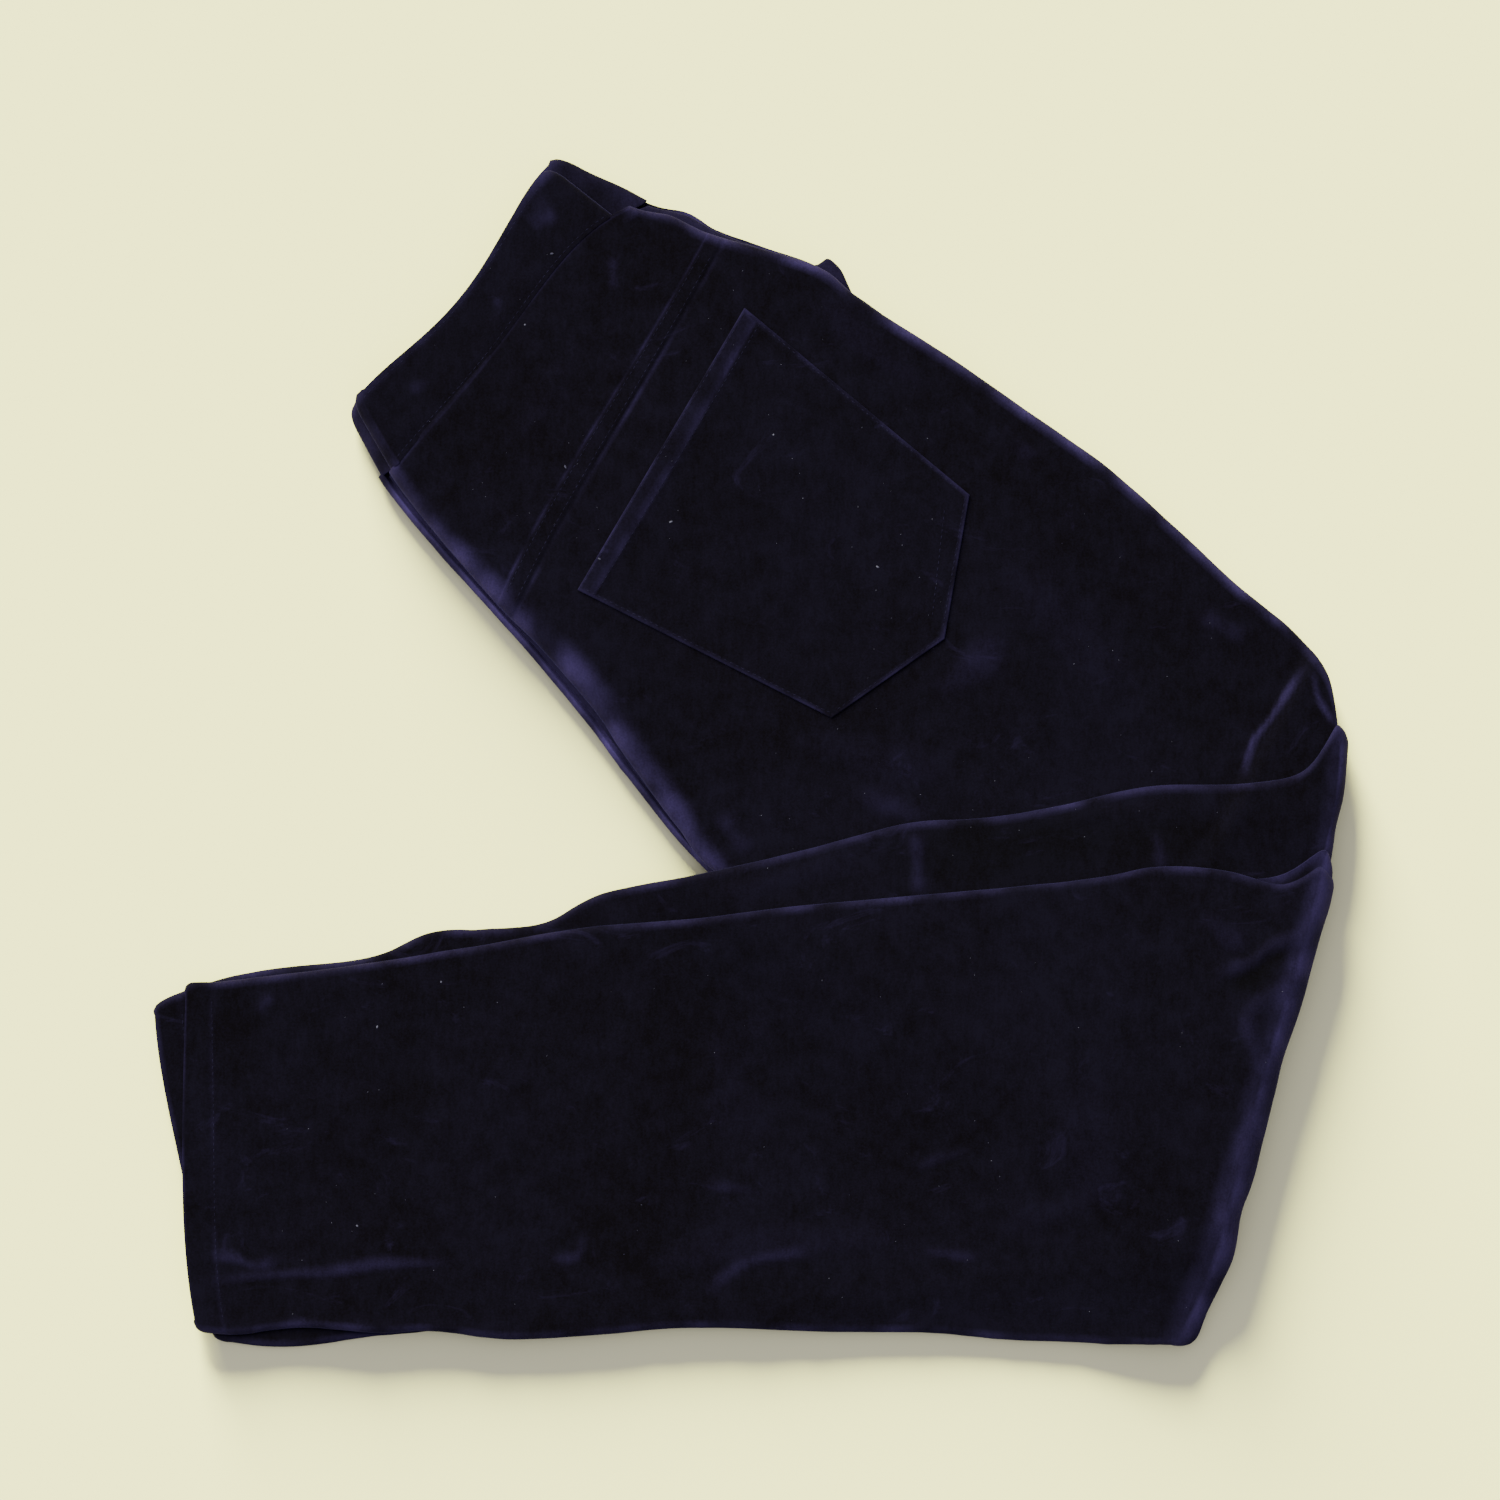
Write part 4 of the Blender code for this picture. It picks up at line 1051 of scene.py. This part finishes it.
def band_path():
    """Once round the band: left back, left front, right front, right back."""
    pitch = BAND + LOOSE
    fold = pitch / 2
    bottom, second, third, top = (BAND / 2 + OFF_FLOOR + pitch * i for i in range(4))
    side = fold + BAND / 2
    round_all = (top - bottom) / 2
    centre_back = round_all + BAND / 2
    left, right = 1.0, 0.0
    path = strip(centre_back, top, left, False)
    path += fold_over("side", side, fold, top - fold, (left, left), SMALL_TURN, True)
    path += strip(CENTRE_FRONT, third, left, True)
    path += fold_over("centre", CENTRE_FRONT, fold, third - fold, (left, right), SMALL_TURN, True)
    path += strip(CENTRE_FRONT, second, right, False)
    path += fold_over("side", side, fold, second - fold, (right, right), SMALL_TURN, True)
    path += strip(centre_back, bottom, right, True)
    path += fold_over(
        "centre", centre_back, round_all, bottom + round_all, (right, left), LARGE_TURN, False,
        BACK_GROOVE,
    )
    return path, side


def band_spot(line, place, side, more):
    """The plan point of a place on the band, along one line of its width made so much longer."""
    whole = width(line) + more
    if place.kind == "strip":
        return on_line(line, place.reach + (whole - side - place.reach) * place.value)[0]
    if place.kind == "side":
        return on_line(line, whole - place.value + place.reach)[0]
    return on_line(line, place.value - place.reach)[0]


def shy_of(line, distance):
    """What to add to a line's ends to make it shorter by a distance at each end."""
    along = (line[2:4] - line[:2]) / width(line) * distance
    return [*along, *-along]


def band_sheet():
    """The band's middle surface, from its upper edge to its seam."""
    path, side = band_path()
    path.append(path[0])
    ends = [lines(table, [WAIST_ROW, BAND_ROW]) for table in (RIGHT_HALF, LEFT_HALF)]
    depths = np.linspace(0, 1 - SEAM / 2 / BAND_DEPTH, BAND_ROWS)
    grid = []
    for depth in depths:
        row = []
        shy = BAND_CORNER * (1 - math.sqrt(1 - max(0, 1 - depth / BAND_ROUND) ** 2))
        longer = BAND_FULLER * change(depth, BAND_FULL), -BAND_SHORT * depth
        edges = [(edge + [*shy_of(edge, shy), 0, 0, 0, 0], seam) for edge, seam in ends]
        for place in path:
            right, left = (
                band_spot(edge, place, side, more) * (1 - depth)
                + band_spot(seam, place, side, more) * depth
                for (edge, seam), more in zip(edges, longer)
            )
            row.append((*(right + (left - right) * place.share), place.height))
        grid.append(row)
    grid = np.array(grid)
    flat = grid[..., :2].reshape(-1, 2)
    height, light = relief(flat, CREASES_BAND, bpy.context.scene.trousers_sizes.crease)
    on_top = (grid[..., 2] > path[0].height - 0.01).ravel()
    height += BAND_WAVE * ripple(flat, WAVE_SIZE, BAND_SEED)
    grid[..., 2] += (height * on_top).reshape(grid.shape[:2])
    level = smooth((depths - BAND_LEVEL) / (1 - BAND_LEVEL))[:, None] * BAND_ABOVE
    grid[..., 2] -= level * on_top.reshape(grid.shape[:2])
    # Painted highlight and shade of the creases on top, then painted sheen along the upper edge,
    # the right half and the centre back fold, in patches
    light = (light * on_top).reshape(grid.shape[:2])
    light += BAND_EDGE_LIGHT * smooth(1 - depths / BAND_EDGE)[:, None]
    light += RIGHT_BAND_LIGHT * np.array([1 - place.share for place in path])
    folded = [place.kind == "centre" and place.height > BAND for place in path]
    light += BAND_BACK_LIGHT * np.outer(depths, folded)
    light *= patchy(flat, BAND_NAP_SEED).reshape(light.shape)
    return Sheet(grid, light)


# The pocket's faces: closer together near its edges, then even; and the painted highlight along
# its rim and its hem's lower line, and the painted sheen on its hem
POCKET_NEAR = np.array((0, 0.005, 0.011, 0.02, 0.032))
POCKET_EVEN, POCKET_BELOW_HEM, POCKET_ACROSS, POCKET_DOWN = 0.05, 0.09, 35, 34
POCKET_RIM_LIGHT, POCKET_LINE_LIGHT, POCKET_HEM_LIGHT = 0.3, 0.6, 0.07
POCKET_RIM, POCKET_LINE = 0.02, 0.012


def pocket_sheet():
    """The pocket's middle surface, laid on the left back's own surface and moved out."""
    hem, foot = np.array(POCKET_HEM), np.array(POCKET_FOOT)
    across_even = np.linspace(POCKET_EVEN, 1 - POCKET_EVEN, POCKET_ACROSS)
    across_places = np.array([*POCKET_NEAR, *across_even, *(1 - POCKET_NEAR[::-1])])
    down_even = np.linspace(POCKET_BELOW_HEM, 1 - POCKET_EVEN, POCKET_DOWN)
    down_places = np.array(
        [*POCKET_NEAR, *POCKET_HEM_PLACES, *down_even, *(1 - POCKET_NEAR[::-1])]
    )
    high = hem[0] + (hem[1] - hem[0]) * across_places[:, None]
    low = np.array([np.interp(across_places, (0, 0.5, 1), foot[:, axis]) for axis in (0, 1)]).T
    plans = np.array([high + (low - high) * down for down in down_places])
    flat = plans.reshape(-1, 2)
    sizes = bpy.context.scene.trousers_sizes
    height, _ = relief(flat, CREASES_LEFT_HALF, sizes.crease)
    height += sizes.softness * ripple(flat, WAVE_SIZE, LEFT_SEED + WAVE_SEED)
    height += base(UNDER_BACK_LEFT, flat) + VELVET + SEAM + PATCH / 2
    height = height.reshape(plans.shape[:2])
    doubled = down_places <= POCKET_HEM_PLACES[0]
    height[doubled] += POCKET_DOUBLED
    # Painted highlight along the pocket's rim and its hem's lower line, painted sheen on the hem
    sides = smooth(1 - np.minimum(across_places, 1 - across_places) / POCKET_RIM)
    foot_rim = smooth(1 - (1 - down_places) / POCKET_RIM)
    hem_rim = smooth(1 - down_places / POCKET_LINE)
    hem_line = smooth(1 - abs(down_places - POCKET_HEM_PLACES[0]) / POCKET_LINE)
    level = np.maximum.reduce([foot_rim, hem_rim, POCKET_LINE_LIGHT * hem_line])
    light = POCKET_RIM_LIGHT * np.maximum.outer(level, sides)
    light[doubled] += POCKET_HEM_LIGHT
    light *= patchy(flat, POCKET_NAP_SEED).reshape(light.shape)
    return Sheet(np.dstack([plans, height]), light)


def hem_seams(line, end):
    """How a hem shows: a groove and a painted highlight along the line that it is sewn along, and
    painted sheen at its turned end.
    """
    return Seam(line, 0.08, 0.07, 0.05), Seam(end, 0.12, 0.3, 0)


class TROUSERS_OT_waistband(bpy.types.Operator):
    """Make the waistband, one closed loop of doubled cloth folded with the garment"""
    bl_idname = "trousers.waistband"
    bl_label = "Waistband"

    def execute(self, context):
        piece = cloth(
            "waistband_dressed", band_sheet(), velvet(), BAND, BAND_RIM, close=True
        )
        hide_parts("waistband")
        return {"FINISHED"}


class TROUSERS_OT_yokes(bpy.types.Operator):
    """Lay both back yokes, between the waistband and the backs"""
    bl_idname = "trousers.yokes"
    bl_label = "Yokes"

    def execute(self, context):
        near_seams = (YOKE_ROW - 0.04, YOKE_ROW - 0.02, YOKE_ROW, BAND_ROW + 0.02, BAND_ROW + 0.04)
        places = between(BAND_ROW - UNDER_SEAM, YOKE_ROW + UNDER_SEAM, per_row(), near_seams)
        sheet = lay(
            LEFT_HALF, places, UNDER_BACK_LEFT, left_edges, -1, CREASES_YOKE, seams=YOKE_SEAMS,
            turned=LEFT_YOKE_EDGE_SHEEN, seed=LEFT_SEED,
        )
        left = cloth("left_yoke", sheet, velvet())
        sheet = lay(
            RIGHT_HALF, places, UNDER_BACK_RIGHT, right_edges, 1, turned=RIGHT_EDGE_SHEEN,
            seed=RIGHT_SEED,
        )
        right = cloth("right_yoke", sheet, velvet())
        for piece, node in ((left, "yoke_left"), (right, "yoke_right")):
            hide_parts(node)
        return {"FINISHED"}


class TROUSERS_OT_backs(bpy.types.Operator):
    """Lay both backs, from the yokes round the knee fold to the hems"""
    bl_idname = "trousers.backs"
    bl_label = "Backs"

    def execute(self, context):
        fell = (YOKE_ROW + 0.02, YOKE_ROW + 0.05, *FELL_PLACES)
        places = between(YOKE_ROW, KNEE_ROW, per_row(), fell)
        upper = lay(
            LEFT_HALF, places, UNDER_BACK_LEFT, left_edges, -1, CREASES_LEFT_HALF,
            lambda place: FELL_RISE * (place <= FELL_PLACES[0]), BACK_SEAMS, LEFT_BACK_EDGE_SHEEN,
            seed=LEFT_SEED,
        )
        lower = lay(
            LEFT_LEG, between(0, LEFT_END, TUCKED_ROWS), UNDER_LEG_BACK_LEFT, both(TUCKED),
            seed=LEFT_TUCKED_SEED,
        )
        sheet = around_knee(upper, lower, LEFT_HALF, REACH_BACK_LEFT)
        left = cloth("left_back", sheet, velvet())
        upper = lay(
            RIGHT_HALF, between(YOKE_ROW, KNEE_ROW, UNDER_ROWS), UNDER_BACK_RIGHT, right_edges, 1,
            turned=RIGHT_EDGE_SHEEN, seed=RIGHT_SEED,
        )
        lower = lay(
            RIGHT_LEG, between(0, RIGHT_END, per_row(), RIGHT_HEM_PLACES), UNDER_LEG_BACK_RIGHT,
            both(CLOSING), -1, CREASES_RIGHT_LEG,
            lambda place: HEM_RISE * (place >= RIGHT_HEM_PLACES[1]),
            hem_seams(RIGHT_HEM_PLACES[0], RIGHT_END), fold=RIGHT_FOLD_SHEEN, seed=RIGHT_LEG_SEED,
        )
        sheet = around_knee(upper, lower, RIGHT_HALF, REACH_BACK_RIGHT)
        right = cloth("right_back", sheet, velvet())
        for piece, node in ((left, "back_left"), (right, "back_right")):
            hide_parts(node)
        return {"FINISHED"}


class TROUSERS_OT_fronts(bpy.types.Operator):
    """Lay both fronts' lower legs, from inside the knee fold to the hems"""
    bl_idname = "trousers.fronts"
    bl_label = "Fronts"

    def execute(self, context):
        start = hidden_start(LEFT_HALF, UNDER_FRONT_LEFT, CLOSING)
        lower = lay(
            LEFT_LEG, between(0, LEFT_END, per_row(), LEFT_HEM_PLACES), UNDER_LEG_FRONT_LEFT,
            both(CLOSING), -1, CREASES_LEFT_LEG,
            lambda place: HEM_RISE * (place >= LEFT_HEM_PLACES[1]),
            hem_seams(LEFT_HEM_PLACES[0], LEFT_END), fold=LEFT_FOLD_SHEEN, seed=LEFT_LEG_SEED,
        )
        sheet = around_knee(start, lower, LEFT_HALF, REACH_FRONT_LEFT)
        left = cloth("left_front", sheet, velvet())
        start = hidden_start(RIGHT_HALF, UNDER_FRONT_RIGHT, TUCKED)
        lower = lay(
            RIGHT_LEG, between(0, RIGHT_END, UNDER_ROWS), UNDER_LEG_FRONT_RIGHT, peeking, -1,
            CREASES_RIGHT_FRONT, fold=RIGHT_FOLD_SHEEN, seed=RIGHT_TUCKED_SEED,
        )
        sheet = around_knee(start, lower, RIGHT_HALF, REACH_FRONT_RIGHT)
        right = cloth("right_front", sheet, velvet())
        for piece, node in ((left, "front_left"), (right, "front_right")):
            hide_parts(node)
        return {"FINISHED"}


class TROUSERS_OT_inner_fronts(bpy.types.Operator):
    """Make the hidden fronts, one rounded body with a groove between them all round"""
    bl_idname = "trousers.inner_fronts"
    bl_label = "Hidden fronts"

    def execute(self, context):
        places = between(BAND_ROW, KNEE_ROW, 2, (*NEAR_BAND, *MOUTH_ROWS, *NEAR_MOUTH))
        rings = np.array([fronts_section(place) for place in places])
        rings[0] += end_shift(rings[0], rings[1], CORE_START)
        rings[-1] += end_shift(rings[-1], rings[-2], CORE_END)
        piece = ring_solid("inner_fronts", rings, velvet_inside())
        finer = piece.modifiers.new("Finer", "SUBSURF")
        finer.levels = finer.render_levels = 1
        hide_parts("inner_layers")
        return {"FINISHED"}


class TROUSERS_OT_pocket(bpy.types.Operator):
    """Lay the left back pocket on the seat"""
    bl_idname = "trousers.pocket"
    bl_label = "Pocket"

    def execute(self, context):
        piece = cloth("left_pocket", pocket_sheet(), velvet(), PATCH)
        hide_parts("pocket_left")
        return {"FINISHED"}


# Sewing: the rows of stitches along the cloth, each with its piece, a table, its place in it and
# whether it shows from above; and those on the pocket, each with its ends. Stitches are so far
# apart, so long, wide and high, their rows end so far in from the cloth's edges, and a path is
# followed in so many steps on the cloth and on the pocket.
STITCH_PITCH, STITCH_SIZE, SEWN_END = 3.2, (1.1, 0.22, 0.18), 7.0
SEWN_STEPS, POCKET_STEPS = 90, 60
SEWN_ROWS = [
    ("waistband_dressed", LEFT_HALF, 0.12, True), ("waistband_dressed", LEFT_HALF, 0.93, True),
    ("left_back", LEFT_HALF, 3.06, True), ("left_back", LEFT_HALF, 3.24, True),
    ("waistband_dressed", RIGHT_HALF, 0.12, False), ("waistband_dressed", RIGHT_HALF, 0.93, False),
    ("right_back", RIGHT_HALF, 3.06, False), ("right_back", RIGHT_HALF, 3.24, False),
    ("right_back", RIGHT_LEG, RIGHT_END - 0.74, True),
    ("left_front", LEFT_LEG, LEFT_END - 0.38, True),
]
POCKET_ROWS = [
    ((-2.5, 219), (-84.5, 81)), ((5.5, 214), (-78, 76.5)), ((-1, 218.5), (108, 127.5)),
    ((108, 127.5), (95.8, 57)), ((95.8, 57), (41, 18.8)), ((41, 18.8), (-83.5, 81.5)),
    ((97.5, 121), (91, 64)),
]

# Lint: the bits that stand out in the photo, their size and that of the specks round them, how
# much longer and how much flatter they are, how many specks there are, and how high cloth has to
# be to hold any
LINT_BITS = [
    (-98.8, 248.5), (-112.2, 213), (-39.2, 114.5), (-186.2, -138), (-154.2, -115.5),
    (-196.2, -237.5), (-92, 142), (-75, 96), (12, 158), (64, 92),
]
LINT_SIZE, SPECK_SIZES, LONGEST_LINT, LINT_FLAT = 0.55, (0.1, 0.22), 2.2, 0.6
LINT_SPECKS, LINT_SEED, LOWEST_LINT = 170, 20, 3.0
LINT_ON = (
    "waistband_dressed", "left_yoke", "left_back", "left_pocket", "left_front", "right_back",
)
LINT_AREAS = [((-190, 100), (90, 250)), ((-240, -290), (280, -100)), ((0, -60), (240, 120))]


def skin(*names):
    """Search trees of these pieces' finished surfaces."""
    graph = bpy.context.evaluated_depsgraph_get()
    return [BVHTree.FromObject(bpy.data.objects[name], graph) for name in names]


def touch(trees, spot, above=True):
    """Where a vertical line meets the outermost cloth, and which way it faces, or None."""
    side = 1 if above else -1
    start = Vector((spot[0] * MM, spot[1] * MM, 0.1 * side))
    hits = [tree.ray_cast(start, Vector((0, 0, -side))) for tree in trees]
    hits = [hit for hit in hits if hit[0]]
    if not hits:
        return None
    place, facing = min(hits, key=lambda hit: hit[3])[:2]
    return place, facing if facing.z * side > 0 else -facing


def stitches_on(trees, path, above=True):
    """Stitches along a plan path: where each lies, how it is turned and its half sizes."""
    steps = np.linalg.norm(np.diff(path, axis=0), axis=1)
    along = np.concatenate([[0], np.cumsum(steps)])
    marks = np.arange(STITCH_PITCH / 2, along[-1], STITCH_PITCH)
    spots = np.array([np.interp(marks, along, path[:, axis]) for axis in (0, 1)]).T
    found = [touch(trees, spot, above) for spot in spots]
    bits = []
    for one, other in zip(found, found[1:]):
        if one and other and (other[0] - one[0]).length < 2 * STITCH_PITCH * MM:
            bits.append((one[0], other[0] - one[0], one[1], STITCH_SIZE))
    return bits


def bits_piece(name, bits, material):
    """One piece of many small rounded bits that lie on the cloth."""
    bm = bmesh.new()
    for place, along, facing, size in bits:
        across_it = facing.cross(along).normalized()
        turn = Matrix((facing.cross(-across_it), across_it, facing)).transposed().to_4x4()
        shape = Matrix.Diagonal((*(part * MM for part in size), 1))
        bmesh.ops.create_icosphere(
            bm, subdivisions=1, radius=1, matrix=Matrix.Translation(place) @ turn @ shape
        )
    return new_object(name, bm, [material])


class TROUSERS_OT_stitches(bpy.types.Operator):
    """Sew the rows of stitches along the band, the yokes, the pocket and the hems"""
    bl_idname = "trousers.stitches"
    bl_label = "Stitches"

    def execute(self, context):
        bits = []
        for name, table, place, above in SEWN_ROWS:
            line = lines(table, [place])[0]
            path = on_line(line, np.linspace(SEWN_END, width(line) - SEWN_END, SEWN_STEPS))
            bits += stitches_on(skin(name), path, above)
        for ends in POCKET_ROWS:
            bits += stitches_on(skin("left_pocket"), np.linspace(*ends, POCKET_STEPS))
        colours = context.scene.trousers_colours
        thread = velvet_material("navy_thread", colours.nap, colours.thread, colours.sheen)
        bits_piece("stitches", bits, thread)
        return {"FINISHED"}


class TROUSERS_OT_lint(bpy.types.Operator):
    """Scatter bits of lint and fine specks on the nap"""
    bl_idname = "trousers.lint"
    bl_label = "Lint"

    def execute(self, context):
        trees = skin(*LINT_ON)
        chance = np.random.default_rng(LINT_SEED)
        spots = [(spot, LINT_SIZE) for spot in LINT_BITS]
        for _ in range(LINT_SPECKS):
            low, high = LINT_AREAS[chance.integers(len(LINT_AREAS))]
            spots.append((chance.uniform(low, high), chance.uniform(*SPECK_SIZES)))
        bits = []
        for spot, size in spots:
            found = touch(trees, spot)
            if found and found[0].z > LOWEST_LINT * MM:
                angle = chance.uniform(0, math.pi)
                way = Vector((math.cos(angle), math.sin(angle), 0))
                long = size * chance.uniform(1, LONGEST_LINT)
                bits.append((found[0], way, found[1], (long, size, LINT_FLAT * size)))
        colours = context.scene.trousers_colours
        fluff = velvet_material("lint", colours.thread, colours.lint, colours.lint)
        bits_piece("lint", bits, fluff)
        return {"FINISHED"}


# The stage, in metres: the photo's frame is so wide, its middle is so far from the frame's
# origin, and both hold at this height. The camera stands and sees so far, and the floor goes so
# far each way.
VIEW_WIDTH, VIEW_PLANE, VIEW_CENTRE = 0.75, 0.01, (0.00025, 0.0005)
CAMERA_HEIGHT, CAMERA_REACH, FLOOR_REACH = 6.0, 50.0, 6.0

# Studio lamps: which way each stands, its strength, how wide its light is, in degrees, its colour,
# and whether it lights the floor alone or all but the floor
Lamp = namedtuple("Lamp", "name towards strength spread colour floor")
LAMPS = [
    Lamp("floor_light", (-0.27, 0.96, 0.18), 56.0, 22, (0.99, 1.0, 0.634), "INCLUDE"),
    Lamp("cloth_light", (-0.9, 1.2, 1.6), 10.8, 60, (1.0, 1.0, 1.0), "EXCLUDE"),
]
WORLD_STRENGTH = 1.04
WORLD_COLOUR = (0.6, 0.58, 1.0)


def make_floor():
    """The pale paper that the trousers lie on."""
    bm = bmesh.new()
    bmesh.ops.create_grid(bm, x_segments=1, y_segments=1, size=FLOOR_REACH)
    mesh = bpy.data.meshes.new("floor")
    bm.to_mesh(mesh)
    bm.free()
    floor = bpy.data.objects.new("floor", mesh)
    paper = bpy.data.materials.new("floor_paper")
    paper.use_nodes = True
    shader = paper.node_tree.nodes["Principled BSDF"]
    colour = bpy.context.scene.trousers_colours.floor
    shader.inputs["Base Color"].default_value = (*colour, 1)
    shader.inputs["Roughness"].default_value = 1.0
    shader.inputs["Specular IOR Level"].default_value = 0.0
    mesh.materials.append(paper)
    bpy.context.scene.collection.objects.link(floor)
    return floor


def make_lamp(row, floor):
    """A sun that lights the floor alone, or everything but the floor."""
    sun = bpy.data.lights.new(row.name, "SUN")
    sun.energy = row.strength
    sun.color = row.colour
    sun.angle = math.radians(row.spread)
    lamp = bpy.data.objects.new(row.name, sun)
    lamp.location = row.towards
    lamp.rotation_euler = (-Vector(row.towards)).to_track_quat("-Z", "Y").to_euler()
    bpy.context.scene.collection.objects.link(lamp)
    lit = bpy.data.collections.new(row.name + "_lit")
    lit.objects.link(floor)
    lit.collection_objects[0].light_linking.link_state = row.floor
    lamp.light_linking.receiver_collection = lit


class TROUSERS_OT_stage(bpy.types.Operator):
    """Make the floor, the studio light and the camera"""
    bl_idname = "trousers.stage"
    bl_label = "Stage"

    def execute(self, context):
        scene = context.scene
        floor = make_floor()
        for row in LAMPS:
            make_lamp(row, floor)

        world = bpy.data.worlds.new("studio")
        world.use_nodes = True
        background = world.node_tree.nodes["Background"]
        background.inputs["Color"].default_value = (*WORLD_COLOUR, 1)
        background.inputs["Strength"].default_value = WORLD_STRENGTH
        scene.world = world

        lens = bpy.data.cameras.new("camera")
        lens.lens = lens.sensor_width * (CAMERA_HEIGHT - VIEW_PLANE) / VIEW_WIDTH
        lens.clip_end = CAMERA_REACH
        camera = bpy.data.objects.new("camera", lens)
        camera.location = (*VIEW_CENTRE, CAMERA_HEIGHT)
        scene.collection.objects.link(camera)
        scene.camera = camera
        return {"FINISHED"}


class TROUSERS_PT_panel(bpy.types.Panel):
    """The trousers' sizes, colours and pieces"""
    bl_idname = "TROUSERS_PT_panel"
    bl_label = "Folded velvet trousers"
    bl_space_type = "VIEW_3D"
    bl_region_type = "UI"
    bl_category = "Trousers"

    def draw(self, context):
        layout = self.layout
        for group in (context.scene.trousers_sizes, context.scene.trousers_colours):
            box = layout.box()
            for name in group.__annotations__:
                box.prop(group, name)
        for operator in OPERATORS:
            layout.operator(operator.bl_idname)


OPERATORS = (
    TROUSERS_OT_waistband,
    TROUSERS_OT_yokes,
    TROUSERS_OT_backs,
    TROUSERS_OT_fronts,
    TROUSERS_OT_inner_fronts,
    TROUSERS_OT_pocket,
    TROUSERS_OT_stitches,
    TROUSERS_OT_lint,
    TROUSERS_OT_stage,
)
CLASSES = (TrousersSizes, TrousersColours, *OPERATORS, TROUSERS_PT_panel)


def register():
    """Add the classes and the settings to Blender."""
    for each in CLASSES:
        bpy.utils.register_class(each)
    bpy.types.Scene.trousers_sizes = PointerProperty(type=TrousersSizes)
    bpy.types.Scene.trousers_colours = PointerProperty(type=TrousersColours)


def unregister():
    """Take the settings and the classes out again."""
    del bpy.types.Scene.trousers_colours
    del bpy.types.Scene.trousers_sizes
    for each in reversed(CLASSES):
        bpy.utils.unregister_class(each)


def main():
    register()
    bpy.ops.trousers.waistband()
    bpy.ops.trousers.yokes()
    bpy.ops.trousers.backs()
    bpy.ops.trousers.fronts()
    bpy.ops.trousers.inner_fronts()
    bpy.ops.trousers.pocket()
    bpy.ops.trousers.stitches()
    bpy.ops.trousers.lint()
    bpy.ops.trousers.stage()


if __name__ == "__main__":
    main()
